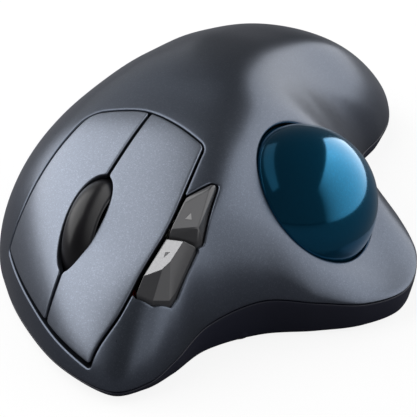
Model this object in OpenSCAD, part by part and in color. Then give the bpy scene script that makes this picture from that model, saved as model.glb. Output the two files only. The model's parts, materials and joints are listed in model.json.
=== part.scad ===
// Right-handed thumb-operated trackball mouse, as separate pieces.
// Millimetres, +Z up. The feet rest on z = 0. Origin at the middle of the
// footprint. The buttons face -Y, the thumb side with the ball faces +X.
// Left and right in names are the user's: left is +X, right is -X.

/* [Show] */
// Piece to draw, or all of them
// Grid steps around the shell
shell_steps = 84; // [60:12:96]
// Grid rings from the middle of the shell to its rim
shell_rings = 14; // [10:2:18]

/* [Shell] */
// Thickness of the moulded walls
wall = 2.2; // [1.8:0.1:2.4]
// Gap around the two large buttons
button_gap = 0.5; // [0.4:0.05:0.7]
// Gap between the upper and lower shells at the parting line
parting_gap = 0.25; // [0.1:0.05:0.4]

/* [Ball] */
// Ball diameter
ball_d = 34; // [33.6:0.1:34]
// Gap between the ball and the edge of its opening
ball_gap = 0.6; // [0.4:0.1:0.8]

/* [Wheel] */
// Wheel diameter
wheel_d = 24; // [23:0.5:24]
// Wheel width
wheel_w = 7; // [6:0.5:7]

/* [Hidden] */

// ---------------------------------------------------------------- surface
plan_mid = [-4, -8];              // centre the outline is measured from
// Plan outline, anticlockwise from the front tip:
// [x, y, height of the parting line, width of the edge rounding]
outline = [
  [2, -71.5, 3, 12], [8.5, -66.2, 3.4, 8], [11.6, -58.8, 5.5, 7],
  [14.4, -48.5, 8.5, 6], [22.3, -39, 10.6, 5], [32.3, -33, 9.2, 5],
  [41, -26.5, 7.4, 6], [46.5, -17, 6.8, 6], [44.3, -4, 6.6, 6],
  [36.2, 7.4, 6.5, 6], [26.4, 16, 6, 7], [19, 25, 5.2, 8],
  [16.8, 34.8, 4.8, 9], [17.4, 45, 4.6, 10], [15.4, 56, 4.2, 16],
  [7.6, 66.5, 4, 22], [-7.8, 71.6, 4, 26], [-25, 64.3, 4, 26],
  [-37.5, 44.5, 4, 24], [-42.2, 21, 4, 23], [-44.7, 1, 4, 22],
  [-46.5, -18, 4, 20], [-43, -36, 3.6, 18], [-34.6, -48.3, 3.2, 14],
  [-24.3, -58.6, 3, 12], [-11.5, -67.6, 3, 12]];
// Cross-section values at stations along Y, from the front
station_y0 = -75;
station_step = 15;
// height of the dome's crest
crest  = [13, 22.7, 32.2, 38.2, 40.2, 41.2, 39, 34.6, 29.4, 21.3, 9.5];
// x where the thumb slope leaves the dome
ridge  = [8, 9.5, 11.8, 10.4, 5.8, 1.8, 0.2, 1.8, 9, 14, 17];
// gradient of the thumb slope
steep  = [1.2, 1.2, 1.15, 0.86, 0.64, 0.7, 0.95, 1, 0.95, 0.9, 0.9];
// height of the apron at x = 0
apron  = [10, 11, 13, 14, 14.5, 14, 13, 12, 11, 10, 9];
// blend between dome and slope
soften = [6, 6, 6, 5, 4, 4, 4, 5, 6, 8, 10];
crest_x = -9.8;                   // line the dome is highest along
bend_right = 0.0075;              // dome curvature on the -X side of it
bend_left = 0.0062;               // and on the +X side
apron_slope = 0.15;
apron_blend = 6;

ball_at = [19.9, -13.5, 20];
ball_r = ball_d / 2;
tilt = 46;                        // lean of the ball opening towards +X
opening_axis = [sin(tilt), 0, cos(tilt)];
seat_h = 5;                       // opening plane, outward of ball centre

// Catmull-Rom curve from b to c, t from 0 to 1
function curve(a, b, c, d, t) = 0.5 * (2 * b + (c - a) * t
  + (2 * a - 5 * b + 4 * c - d) * t * t
  + (3 * b - a - 3 * c + d) * t * t * t);
corners = len(outline);
dense = [for (i = [0:corners - 1]) for (k = [0:9])
  curve(outline[(i + corners - 1) % corners], outline[i],
    outline[(i + 1) % corners], outline[(i + 2) % corners], k / 10)];

// Rim values looked up by the angle round plan_mid
function plan_angle(p) = atan2(p.y - plan_mid.y, p.x - plan_mid.x);
start_a = plan_angle(dense[0]);
function unwrap(a) = a < start_a - 0.000001 ? a + 360 : a;
function wrap(a) = a - 360 * floor((a - start_a) / 360);
function rim_table(values) = concat(
  [for (i = [0:len(dense) - 1]) [unwrap(plan_angle(dense[i])), values[i]]],
  [[start_a + 360, values[0]]]);
radius_table = rim_table([for (p = dense) norm([p.x - plan_mid.x, p.y - plan_mid.y])]);
height_table = rim_table([for (p = dense) p[2]]);
rounding_table = rim_table([for (p = dense) p[3]]);
function rim_r(a) = lookup(wrap(a), radius_table);
function rim_z(a) = lookup(wrap(a), height_table);
function rim_rounding(a) = lookup(wrap(a), rounding_table);

// Value of a station list at y
function station(y, list) = let (
    u = (y - station_y0) / station_step,
    last = len(list) - 1,
    i = max(0, min(last - 1, floor(u))),
    t = max(0, min(1, u - i)))
  curve(list[max(i - 1, 0)], list[i], list[i + 1], list[min(i + 2, last)], t);
function soft_min(a, b, blend) = let (h = max(0, min(1, 0.5 + 0.5 * (b - a) / blend)))
  b * (1 - h) + a * h - blend * h * (1 - h);
function soft_max(a, b, blend) = -soft_min(-a, -b, blend);
function smooth_step(a, b, x) = let (t = max(0, min(1, (x - a) / (b - a))))
  t * t * (3 - 2 * t);

// Dome on the palm side, steep thumb slope and gentle apron beyond the ball
function open_top(x, y) = let (
    crest_z = station(y, crest),
    u = x - crest_x,
    dome_z = crest_z - (u < 0 ? bend_right : bend_left) * u * u,
    ridge_x = station(y, ridge),
    ridge_z = crest_z - bend_left * pow(ridge_x - crest_x, 2),
    slope_z = ridge_z - station(y, steep) * (x - ridge_x),
    apron_z = station(y, apron) - apron_slope * x)
  soft_min(dome_z, soft_max(slope_z, apron_z, apron_blend), station(y, soften));
// The same with a flat seat round the ball opening, fading out between
// 18 and 26 from the opening's centre
function top_z(x, y) = let (
    z = open_top(x, y),
    seat_z = ball_at.z + (seat_h - opening_axis.x * (x - ball_at.x)) / opening_axis.z,
    from_centre = sqrt(max(0, pow(x - ball_at.x, 2) + pow(y - ball_at.y, 2)
      + pow(seat_z - ball_at.z, 2) - seat_h * seat_h)))
  z + (seat_z - z) * (1 - smooth_step(18, 26, from_centre));
// Rounded down to the parting line at the rim
function skin_z(x, y) = let (
    dx = x - plan_mid.x,
    dy = y - plan_mid.y,
    a = atan2(dy, dx),
    r = rim_r(a),
    dr = (rim_r(a + 1) - rim_r(a - 1)) / (PI / 90),
    to_rim = (r - norm([dx, dy])) * r / norm([r, dr]),
    s = max(0, min(1, to_rim / rim_rounding(a))),
    z0 = rim_z(a))
  z0 + (top_z(x, y) - z0) * sqrt(1 - (1 - s) * (1 - s));
function skin_at(p) = skin_z(p.x, p.y);

// ------------------------------------------------------------------- grid
rim = shell_rings - 1;            // index of the rim row
function ring_f(j) = 1 - pow(1 - j / shell_rings, 2);
grid = [for (i = [0:shell_steps - 1])
  let (a = 360 * i / shell_steps, r = rim_r(a))
  [for (j = [1:shell_rings])
    let (x = plan_mid.x + r * ring_f(j) * cos(a), y = plan_mid.y + r * ring_f(j) * sin(a))
    [x, y, j == shell_rings ? rim_z(a) : skin_z(x, y)]]];
top_mid = [plan_mid.x, plan_mid.y, skin_at(plan_mid)];
function unit(v) = v / norm(v);
normals = [for (i = [0:shell_steps - 1]) [for (j = [0:rim])
  let (
    around = grid[(i + 1) % shell_steps][j] - grid[(i + shell_steps - 1) % shell_steps][j],
    outward = grid[i][min(j + 1, rim)] - (j == 0 ? top_mid : grid[i][j - 1]))
  unit(cross(outward, around))]];
// Outline point moved inwards by t at height z
function inset(i, t, z) = let (p = grid[i][rim], n = normals[i][rim], m = norm([n.x, n.y]))
  [p.x - t * n.x / m, p.y - t * n.y / m, z];
// Grid point moved inwards by t; the rim row stays level
function sunk(i, j, t) = j == rim ? inset(i, t, grid[i][j].z) : grid[i][j] - t * normals[i][j];
function inset_ring(t, z) = [for (i = [0:shell_steps - 1]) inset(i, t, z)];
function sunk_ring(j, t) = [for (i = [0:shell_steps - 1]) sunk(i, j, t)];

// Closed solid from a fan, rings of points and a closing fan
module ring_solid(first, rings, last) {
  n = shell_steps;
  count = len(rings);
  first_index = count * n;
  points = concat([for (r = rings) each r], [first, last]);
  first_fan = [for (i = [0:n - 1]) [first_index, (i + 1) % n, i]];
  side = [for (k = [0:count - 2]) for (i = [0:n - 1]) let (i2 = (i + 1) % n)
    each [[k * n + i, k * n + i2, (k + 1) * n + i2],
          [k * n + i, (k + 1) * n + i2, (k + 1) * n + i]]];
  last_fan = [for (i = [0:n - 1])
    [first_index + 1, (count - 1) * n + i, (count - 1) * n + (i + 1) % n]];
  polyhedron(points = points, faces = concat(first_fan, side, last_fan), convexity = 6);
}
// Layer of the shell between depths t0 and t1; the inner face skips some rings
module skin(t0, t1) {
  inner_rows = [for (j = [rim:-1:0]) if (j % 2 == 0 || j > shell_rings - 4) j];
  ring_solid(top_mid - [0, 0, t0],
    concat([for (j = [0:rim]) sunk_ring(j, t0)], [for (j = inner_rows) sunk_ring(j, t1)]),
    top_mid - [0, 0, t1]);
}
// Everything deeper than t under the shell surface, down past the ground
module skin_below(t) {
  ring_solid(top_mid - [0, 0, t],
    concat([for (j = [0:rim]) sunk_ring(j, t)], [inset_ring(t, -1)]),
    [plan_mid.x, plan_mid.y, -1]);
}

// ---------------------------------------------------------------- helpers
module at(p, z) translate([p.x, p.y, z]) children();
module along_x() rotate([0, 90, 0]) children();
// Coil swept round a circle, with closed ends
module coil(start_r, end_r, wire_r, turns, height, turn_steps, sides) {
  steps = turns * turn_steps;
  points = [for (k = [0:steps])
    let (
      a = 360 * k / turn_steps,
      r = start_r + (end_r - start_r) * k / steps,
      z = height * k / steps)
    for (q = [0:sides - 1]) let (b = 360 * q / sides)
      [(r + wire_r * cos(b)) * cos(a), (r + wire_r * cos(b)) * sin(a), z + wire_r * sin(b)]];
  side = [for (k = [0:steps - 1]) for (q = [0:sides - 1])
    let (q2 = (q + 1) % sides, here = k * sides, next = here + sides)
    each [[here + q, next + q2, next + q], [here + q, here + q2, next + q2]]];
  start_face = [for (q = [sides - 1:-1:0]) q];
  end_face = [for (q = [0:sides - 1]) steps * sides + q];
  polyhedron(points = points, faces = concat([start_face], side, [end_face]), convexity = 8);
}

// ----------------------------------------------------------------- levels
floor_bottom = 0.8;
floor_top = 2.8;
rib_z = 2;                        // ribs and pillars start inside the floor
board_under = 6;
board_z = board_under + 1.6;      // top of the main board
side_z = 8;                       // underside of the side board
side_t = 1.2;
switch_top = 14.7;                // top of a large switch plunger
small_top = 12.2;                 // top of a small switch plunger
stem_gap = 0.05;                  // between a plunger and its button stem

// ------------------------------------------------------- plan-view outlines
function spline(p, n) = [for (i = [0:len(p) - 2]) for (k = [0:n - 1])
  curve(p[max(i - 1, 0)], p[i], p[i + 1], p[min(i + 2, len(p) - 1)], k / n)];
// Edges of the large buttons, [x, y]: behind, on the +X side, on the -X side
rear_edge = [[-25, -24.9], [-18.8, -23], [-12.2, -22], [-4.3, -23.9], [3.8, -27.3]];
index_edge = [[3.8, -27.3], [4.7, -37.3], [5, -47], [3.5, -56], [1.5, -64.2],
  [-2.6, -70.5], [-4, -77]];
middle_edge = [[-42, -52], [-34, -46.5], [-30.3, -41], [-27.5, -33.8], [-25, -24.9]];
// Line between the two large buttons
split = [[-11.6, -18], [-11.8, -30], [-12.7, -42], [-14.7, -58], [-17, -65], [-20, -77]];
split_gap = 0.35;                 // each button's distance from that line
module buttons_plan(d) {
  offset(delta = -d) offset(r = 1.2) offset(delta = -1.2)
    polygon(concat(spline(rear_edge, 5), spline(index_edge, 5),
      [[-4, -77], [-42, -77]], spline(middle_edge, 5)));
}
// One side of the split: side 1 is towards +X, -1 towards -X
module split_side(side) {
  shift = side * split_gap;
  far_x = side > 0 ? 30 : -60;
  polygon(concat([for (p = spline(split, 5)) p + [shift, 0]],
    [[-20 + shift, -80], [far_x, -80], [far_x, -10]]));
}
module slot_plan() translate([-13.6, -50]) rotate(-5) scale([4.2, 8.9]) circle(1, $fn = 48);
// The buttons stop above a lip at the front that slopes down towards +X
lip_z = 6.2;
module above_lip(h) {
  translate([-2.4, 0, lip_z + h]) rotate([0, atan(0.18), 0])
    translate([-80, -100, 0]) cube([160, 120, 60]);
}

// Small buttons, [x, y]: outline of each cap and of its raised face
back_plan = [[9.4, -35.2], [5.8, -41.2], [5.7, -49.2], [11.6, -47.4], [12.2, -41.5],
  [11.2, -36.5]];
back_face = [[6.6, -42.2], [9.7, -37.6], [10.6, -46], [6.1, -49]];
forward_plan = [[5.6, -50.3], [11.4, -48.4], [10.6, -55], [9.2, -58.2], [4, -62], [4.2, -58.5]];
forward_face = [[6, -51], [9.6, -49.8], [7.8, -55.6], [4.6, -59.2]];
module side_plan() {
  offset(delta = button_gap) {
    polygon(back_plan);
    polygon(forward_plan);
  }
  // strip towards the large buttons
  polygon([[4, -42], [7, -42], [7, -50], [6, -60], [3.2, -60]]);
}

// -------------------------------------------------------------- top cover
screws_at = [[16.5, -39], [40, -17], [12.3, 45.5], [-36.5, 22], [-39, -1]];
pillar_r = 2.9;
pillar_z = 5.7;                   // lower end of the screw pillars
module top_cover() color([0.35, 0.38, 0.42]) resize([0, 0, 0]) difference() {
  union() {
    skin(0, wall);
    // screw pillars hang from the underside of the cover
    for (p = screws_at) intersection() {
      at(p, pillar_z) cylinder(r = pillar_r, h = 60, $fn = 24);
      skin_below(1.2);
    }
  }
  // opening for the two large buttons
  intersection() {
    linear_extrude(90) buttons_plan(0);
    above_lip(0);
  }
  // opening for the two small buttons
  translate([0, 0, 8]) linear_extrude(60) side_plan();
  // ball opening, a little wider behind the ball
  translate(ball_at) sphere(r = ball_r + ball_gap, $fn = 72);
  translate(ball_at) rotate([0, tilt, 0]) translate([-0.7, 0.8, 0])
    cylinder(r = sqrt(ball_r * ball_r - seat_h * seat_h) + 0.9, h = 12, $fn = 72);
  // pilot holes
  for (p = screws_at) at(p, 5) cylinder(r = 1.2, h = min(8, skin_at(p) - 7.2), $fn = 20);
}

// ---------------------------------------------------------- large buttons
left_stem = [-1.9, -52.6];        // above the left switch plunger
right_stem = [-24.2, -47.6];      // above the right switch plunger
module button_plate(side) {
  intersection() {
    skin(0, wall);
    linear_extrude(90) difference() {
      intersection() {
        buttons_plan(button_gap);
        split_side(side);
      }
      slot_plan();
    }
    above_lip(1.1);
  }
}
// Tongue from the rear of a button to under the cover
module tongue(x0, x1) {
  intersection() {
    skin(wall - 0.4, wall + 1.6);
    linear_extrude(60) polygon([[x0, -29], [x1, -29], [x1, -25.6], [x0, -25.6]]);
  }
  intersection() {
    skin(wall + 0.6, wall + 1.6);
    linear_extrude(60) polygon([[x0, -27], [x1, -27], [x1, -18], [x0, -18]]);
  }
}
module stem(p) {
  intersection() {
    translate([p.x - 2, p.y - 1.5, switch_top + stem_gap]) cube([4, 3, 40]);
    skin_below(wall - 0.5);
  }
}
module large_button(side, tongue_x, stem_at) union() {
  difference() {
    button_plate(side);
    wheel_room();
  }
  tongue(tongue_x[0], tongue_x[1]);
  stem(stem_at);
}
module left_button() color([0.42, 0.45, 0.5]) resize([0, 0, 0])
  large_button(side = 1, tongue_x = [-9, -0.9], stem_at = left_stem);
module right_button() color([0.5, 0.52, 0.56]) resize([0, 0, 0])
  large_button(side = -1, tongue_x = [-22, -14.5], stem_at = right_stem);

// ---------------------------------------------------------- small buttons
back_at = [8.6, -42.5];
forward_at = [6.8, -52];
// Tiny cubes at a height above the shell surface
module cap_corners(points, rise)
  for (p = points) at(p, skin_at(p) + rise) cube(0.3, center = true);
// Faceted cap from its plan and its raised top face
module cap(plan, face, rise) {
  hull() {
    cap_corners(plan, -3.2);
    cap_corners(plan, 0.3);
    cap_corners(face, rise);
  }
}
module small_stem(p) translate([p.x - 1, p.y - 1.2, small_top + stem_gap])
  cube([2, 2.4, skin_at(p) - small_top - 1]);
module back_button() color([0.3, 0.3, 0.3]) resize([0, 0, 0]) union() {
  cap(back_plan, back_face, 2.2);
  small_stem(back_at);
}
module forward_button() color([0.3, 0.3, 0.3]) resize([0, 0, 0]) union() {
  cap(forward_plan, forward_face, 2.4);
  small_stem(forward_at);
}

// ------------------------------------------------------------------ wheel
wheel_at = [-13.6, -45.6, 21.7];
wheel_r = wheel_d / 2;
tyre_bore_r = 9.2;
axle_r = 1.5;
pivot = [wheel_at.x, wheel_at.y - 8.8, 10];
// Fork points as [y, z] from the wheel centre
pivot_bar = [pivot.y - wheel_at.y, pivot.z - wheel_at.z];
spring_bar = [11.2, -10.1];
press_bar = [16.8, -10.1];        // presses the middle switch
press_bar_r = 1.85;
bar_r = 1.2;
fork_x = 5.5;                     // side plates, each side of the wheel centre

// Rounded tread as [radius, position along the axle]
function tread(r, half_w, n) = [for (i = [0:n]) let (t = 1 - 2 * i / n)
  [r - 2.2 * t * t, t * half_w]];
// Room for the wheel behind the edges of its slot
module wheel_room() {
  half_w = wheel_w / 2 + 0.6;
  translate(wheel_at) along_x() rotate_extrude($fn = 72)
    polygon(concat([[0, -half_w], [0, half_w]], tread(wheel_r + 0.8, half_w, 6)));
}
module wheel_tyre() color([0.09, 0.09, 0.1]) translate(wheel_at) along_x()
  rotate_extrude($fn = 96) polygon(concat(
    [[tyre_bore_r, -wheel_w / 2 + 0.4], [tyre_bore_r, wheel_w / 2 - 0.4]],
    tread(wheel_r, wheel_w / 2, 8)));
module wheel_hub() color([0.2, 0.2, 0.22]) translate(wheel_at) along_x() difference() {
  union() {
    difference() {
      cylinder(r = tyre_bore_r - 0.02, h = wheel_w - 1, center = true, $fn = 96);
      // recess in each face, leaving a web with a ring of holes
      for (s = [-1, 1]) translate([0, 0, s * 3])
        cylinder(r = 7.6, h = 3.6, center = true, $fn = 72);
      for (k = [0:7]) rotate(k * 45) translate([5.4, 0, 0])
        cylinder(r = 1.1, h = 20, center = true, $fn = 24);
    }
    cylinder(r = 3, h = 8.6, center = true, $fn = 48);
  }
  cylinder(r = axle_r + 0.03, h = 20, center = true, $fn = 48);
}
module wheel_axle() color([0.75, 0.76, 0.78]) translate(wheel_at) along_x()
  cylinder(r = axle_r, h = 16.6, center = true, $fn = 48);
// Side plate of the fork, drawn in the YZ plane
module fork_plan() {
  offset(r = -0.8, $fn = 24) offset(r = 0.8, $fn = 24) {
    hull() {
      circle(3, $fn = 32);
      translate(pivot_bar) circle(2.1, $fn = 32);
    }
    hull() {
      circle(2.9, $fn = 32);
      translate(spring_bar) circle(2, $fn = 32);
    }
    hull() {
      translate(spring_bar) circle(2, $fn = 30);
      translate(press_bar) circle(2, $fn = 32);
    }
  }
}
// Round bar across the fork
module bar(p, r) translate([wheel_at.x, wheel_at.y + p[0], wheel_at.z + p[1]]) along_x()
  cylinder(r = r, h = 10, center = true, $fn = 32);
module wheel_carrier() color([0.25, 0.25, 0.28]) resize([0, 0, 0]) difference() {
  union() {
    for (s = [-1, 1]) translate([wheel_at.x + s * fork_x, wheel_at.y, wheel_at.z])
      rotate([90, 0, 90]) linear_extrude(1.4, center = true) fork_plan();
    bar(pivot_bar, bar_r);
    bar(spring_bar, bar_r);
    bar(press_bar, press_bar_r);
    // pivot pins
    for (s = [-1, 1]) translate([pivot.x + s * 6.8, pivot.y, pivot.z]) along_x()
      cylinder(r = bar_r, h = 2, center = true, $fn = 40);
  }
  translate(wheel_at) along_x() cylinder(r = axle_r + 0.04, h = 20, center = true, $fn = 72);
}
module wheel_bracket() color([0.3, 0.3, 0.33]) difference() {
  union() {
    translate([wheel_at.x - 7.6, pivot.y + 2.9, board_z]) cube([15.2, 1.6, 0.7]);
    // foot and upright each side, as [length along Y, height]
    for (s = [-1, 1]) for (size = [[6.2, 1], [3.4, 4]])
      translate([wheel_at.x + s * 7.1 - 0.5, pivot.y - 1.7, board_z])
        cube([1, size[0], size[1]]);
  }
  translate(pivot) along_x() cylinder(r = bar_r + 0.05, h = 30, center = true, $fn = 40);
}
module wheel_spring() color([0.8, 0.8, 0.8])
  translate([wheel_at.x, wheel_at.y + spring_bar[0], board_z + 0.32])
    coil(start_r = 1.8, end_r = 1.8, wire_r = 0.25, turns = 3, height = 1.8,
      turn_steps = 14, sides = 6);
module wheel_encoder() color([0.15, 0.3, 0.2]) difference() {
  translate([wheel_at.x + 7.1, wheel_at.y - 3.3, board_z]) cube([4.4, 6.6, 17.6]);
  translate([wheel_at.x + 6, wheel_at.y, wheel_at.z]) along_x()
    cylinder(r = 2.1, h = 3.2, $fn = 40);
}

// ------------------------------------------------------- ball and sensor
bearing_dirs = [for (a = [60, 180, 300])
  [cos(-35) * cos(a), cos(-35) * sin(a), sin(-35)]];
bearing_r = 1.25;
bearing_dist = ball_r + bearing_r + 0.03;
cup_outer_r = 19.5;
cup_inner_r = 17.7;
cup_bottom = 3;
look = unit([-0.94, 0, -0.34]);   // direction from the ball to its sensor
// Distances from the ball centre along that direction
lens_dist = 20.6;
sensor_dist = 22.85;
sensor_board_dist = 25.1;
sensor_board_t = 1.2;
board_green = [0.1, 0.35, 0.2];

module at_sensor(dist) translate(ball_at + look * dist) rotate([0, -acos(look.z), 0]) children();
module at_bearings() for (d = bearing_dirs) translate(ball_at + d * bearing_dist) children();
module trackball() color([0.02, 0.3, 0.5]) translate(ball_at) sphere(r = ball_r, $fn = 120);
module ball_cup() color([0.12, 0.12, 0.13]) difference() {
  union() {
    difference() {
      translate(ball_at) sphere(r = cup_outer_r, $fn = 96);
      // open towards the tilted opening, cut level at the bottom
      translate(ball_at) rotate([0, tilt, 0]) translate([-40, -40, 0.6]) cube([80, 80, 60]);
      translate([ball_at.x - 40, ball_at.y - 40, -20]) cube([80, 80, 20 + cup_bottom]);
    }
    // three legs
    for (a = [90, 210, 330])
      translate([ball_at.x + 13.5 * cos(a), ball_at.y + 13.5 * sin(a), floor_top])
        cylinder(r = 2, h = 4.6, $fn = 32);
  }
  translate(ball_at) sphere(r = cup_inner_r, $fn = 96);
  at(ball_at, 0) cylinder(r = 9, h = 12, $fn = 64);
  at_bearings() sphere(r = bearing_r + 0.02, $fn = 32);
  at_sensor(10) cylinder(r = 3.6, h = 14, $fn = 40);
}
module bearing_balls() color([0.7, 0.12, 0.2]) at_bearings() sphere(r = bearing_r, $fn = 32);
module sensor_lens() color([0.85, 0.9, 0.95]) at_sensor(lens_dist) union() {
  cylinder(r = 3.2, h = 1, $fn = 40);
  translate([0, 0, 1]) cylinder(r = 4.4, h = 1.2, $fn = 40);
}
module optical_sensor() color([0.1, 0.1, 0.1]) at_sensor(sensor_dist)
  translate([-4, -4.5, 0]) cube([8, 9, 2.2]);
module sensor_board() color(board_green) at_sensor(sensor_board_dist)
  translate([-6.5, -8, 0]) cube([13, 16, sensor_board_t]);
// Two flat lengths behind the sensor board and a block on the main board
module ribbon_cable() color([0.85, 0.85, 0.8]) union() {
  cable_dist = sensor_board_dist + sensor_board_t;
  at_sensor(cable_dist) translate([-3, -7.5, 0]) cube([6, 5, 0.3]);
  at_sensor(cable_dist) translate([-3, -12.7, 0]) cube([6, 5.3, 0.3]);
  translate([-6.8, -29.4, board_z]) cube([2.8, 3.4, 5.6]);
}

// ----------------------------------------------------- boards and switches
main_plan = [[-36, -24], [-36, -40], [-27, -51], [-17, -59], [-8, -63], [1, -62.6],
  [2, -31], [-1, -24]];
board_holes = [[-32.5, -28], [-2, -27.6], [-8, -60.4]];
side_board_plan = [[3.4, -38.5], [12, -38.5], [12, -47], [9.3, -54.6], [3.4, -54.6]];
side_posts = [[10.4, -48.3], [5.6, -48.3]];
middle_at = [wheel_at.x, wheel_at.y + press_bar[0]];
middle_top = wheel_at.z + press_bar[1] - press_bar_r - 0.05;

module main_board() color(board_green) difference() {
  translate([0, 0, board_under]) linear_extrude(board_z - board_under) polygon(main_plan);
  for (p = board_holes) at(p, 5) cylinder(r = 1.1, h = 4, $fn = 24);
}
module radio_chip() color([0.1, 0.1, 0.1]) union() {
  translate([-31.5, -36.5, board_z]) cube([7, 7, 1]);
  for (s = [-1, 1]) translate([-28 + s * 3.9 - 0.4, -35.5, board_z]) cube([0.8, 5, 0.4]);
}
module capacitor() color([0.2, 0.25, 0.5]) translate([-22.5, -28, board_z])
  cylinder(r = 2, h = 5, $fn = 40);
// Large switch round a plunger at p, reaching back behind it
module big_switch(p, back) color([0.12, 0.12, 0.12]) difference() {
  union() {
    translate([p.x - 2.9, p.y - 12.8 + back, board_z]) cube([5.8, 12.8, 4.2]);
    translate([p.x - 2.6, p.y - 12.5 + back, board_z + 4.2]) cube([5.2, 12.2, 2.3]);
  }
  at(p, board_z + 3) cylinder(r = 1.05, h = 8, $fn = 32);
}
module big_plunger(p) color([0.8, 0.2, 0.2]) at(p, board_z + 3.6)
  cylinder(r = 1, h = switch_top - board_z - 3.6, $fn = 32);
module left_switch() big_switch(left_stem, back = 3);
module right_switch() big_switch(right_stem, back = 9.8);
module left_plunger() big_plunger(left_stem);
module right_plunger() big_plunger(right_stem);
// Square switch with a round well for its plunger
module square_switch(p, z, width, height, well) color([0.2, 0.2, 0.2]) difference() {
  translate([p.x - width / 2, p.y - width / 2, z]) cube([width, width, height]);
  at(p, z + height - well) cylinder(r = 1.35, h = 6, $fn = 32);
}
module small_plunger(p, top, height) color([0.8, 0.7, 0.2]) at(p, top - height)
  cylinder(r = 1.3, h = height, $fn = 32);
module middle_switch()
  square_switch(middle_at, z = board_z, width = 6, height = 1.3, well = 1.15);
module middle_plunger() small_plunger(middle_at, middle_top, 1.1);
module side_board() color(board_green) difference() {
  translate([0, 0, side_z]) linear_extrude(side_t) polygon(side_board_plan);
  for (p = side_posts) at(p, 6) cylinder(r = 1.05, h = 6, $fn = 24);
}
module side_switch(p)
  square_switch(p, z = side_z + side_t, width = 4.5, height = 2.2, well = 1.7);
module back_switch() side_switch(back_at);
module forward_switch() side_switch(forward_at);
module back_plunger() small_plunger(back_at, small_top, 1.7);
module forward_plunger() small_plunger(forward_at, small_top, 1.7);

// ------------------------------------------------------------ bottom case
door_plan = [[-32, 5], [-1, 5], [-1, 61], [-13, 61], [-32, 34]];
slider_at = [-22, -34];
cell_at = [-9.5, 5.8, 11.2];      // front end of the cell body
cell_r = 7.2;
cell_len = 49;
// Walls standing in the case: [corner, size]
case_walls = [
  // end walls of the battery bay
  [[-18, 2, rib_z], [17, 1.6, 15]],
  [[-18, 59.2, rib_z], [17, 1.6, 10]],
  // side walls of the battery bay
  [[-1.7, 3.5, rib_z], [1.2, 56, 5]],
  [[-18, 3.5, 4.6], [1.2, 56, 3.4]],
  // ledge under the sensor board
  [[-4.6, -20, rib_z], [4, 13, 2.2]],
  // frame round the stored receiver
  [[-33.4, 10.1, rib_z], [1.2, 21.1, 6]],
  [[-33.4, 10.1, 4.6], [16, 1, 3.4]],
  [[-33.4, 30.2, 4.6], [16, 1, 3.4]]];

function case_rim(i) = grid[i][rim].z - parting_gap;
module bottom_shell() ring_solid([plan_mid.x, plan_mid.y, floor_top], [
  inset_ring(wall + 1.8, floor_top),
  [for (i = [0:shell_steps - 1]) inset(i, wall - 0.1, max(2.5, case_rim(i)))],
  [for (i = [0:shell_steps - 1]) inset(i, 0.05, case_rim(i))],
  inset_ring(0.9, floor_bottom + 1),
  inset_ring(1.9, floor_bottom)], [plan_mid.x, plan_mid.y, floor_bottom]);
module bottom_case() color([0.12, 0.13, 0.17]) resize([0, 0, 0]) difference() {
  union() {
    bottom_shell();
    // screw bosses, board pillars, side board pillars with pins
    for (p = screws_at) at(p, rib_z) cylinder(r = 3.4, h = 3.6, $fn = 28);
    for (p = board_holes) at(p, rib_z) cylinder(r = 2.2, h = board_under - rib_z, $fn = 24);
    for (p = side_posts) at(p, rib_z) cylinder(r = 1.6, h = side_z - rib_z, $fn = 24);
    for (p = side_posts) at(p, side_z - 1) cylinder(r = 0.95, h = 2.8, $fn = 20);
    for (w = case_walls) translate(w[0]) cube(w[1]);
  }
  // clear of the upper shell and its pillars
  skin(-0.3, wall + 0.15);
  skin(0.2, wall);
  for (p = screws_at) at(p, pillar_z - 0.05) cylinder(r = pillar_r + 0.15, h = 40, $fn = 28);
  // hole for pushing the ball out
  at(ball_at, -1) cylinder(r = 8, h = 8, $fn = 48);
  // battery and receiver opening
  translate([0, 0, -1]) linear_extrude(5.5)
    offset(r = 2, $fn = 24) offset(delta = -2) polygon(door_plan);
  translate([cell_at.x, 5, cell_at.z]) rotate([-90, 0, 0])
    cylinder(r = cell_r + 0.4, h = 53, $fn = 48);
  // slot for the power slider
  translate([slider_at.x - 2.2, slider_at.y - 2, -1]) cube([7.5, 4, 6]);
  // screw holes with sunk heads
  for (p = screws_at) at(p, -1) {
    cylinder(r = 2.4, h = 4, $fn = 24);
    cylinder(r = 1.4, h = 12, $fn = 20);
  }
  for (p = board_holes) at(p, 3.2) cylinder(r = 0.9, h = 4, $fn = 20);
}

// ---------------------------------------------------- battery and receiver
module battery_door() color([0.13, 0.14, 0.18]) union() {
  translate([0, 0, 0.85]) linear_extrude(1.5)
    offset(r = 1.65, $fn = 24) offset(delta = -2) polygon(door_plan);
  // ribs that press on the cell
  for (y = [18, 44]) translate([-13.5, y, 2.35]) cube([8, 1.4, 1.2]);
  // finger ridges
  for (k = [0:3]) translate([-16, 48 + 2.4 * k, 0.5]) cube([10, 0.9, 0.6]);
}
module battery() color([0.75, 0.6, 0.3]) translate(cell_at) rotate([-90, 0, 0]) union() {
  cylinder(r = cell_r, h = cell_len, $fn = 72);
  translate([0, 0, -1.3]) cylinder(r = 2.7, h = 1.4, $fn = 40);
  translate([0, 0, cell_len]) cylinder(r = 5, h = 0.2, $fn = 40);
}
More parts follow.
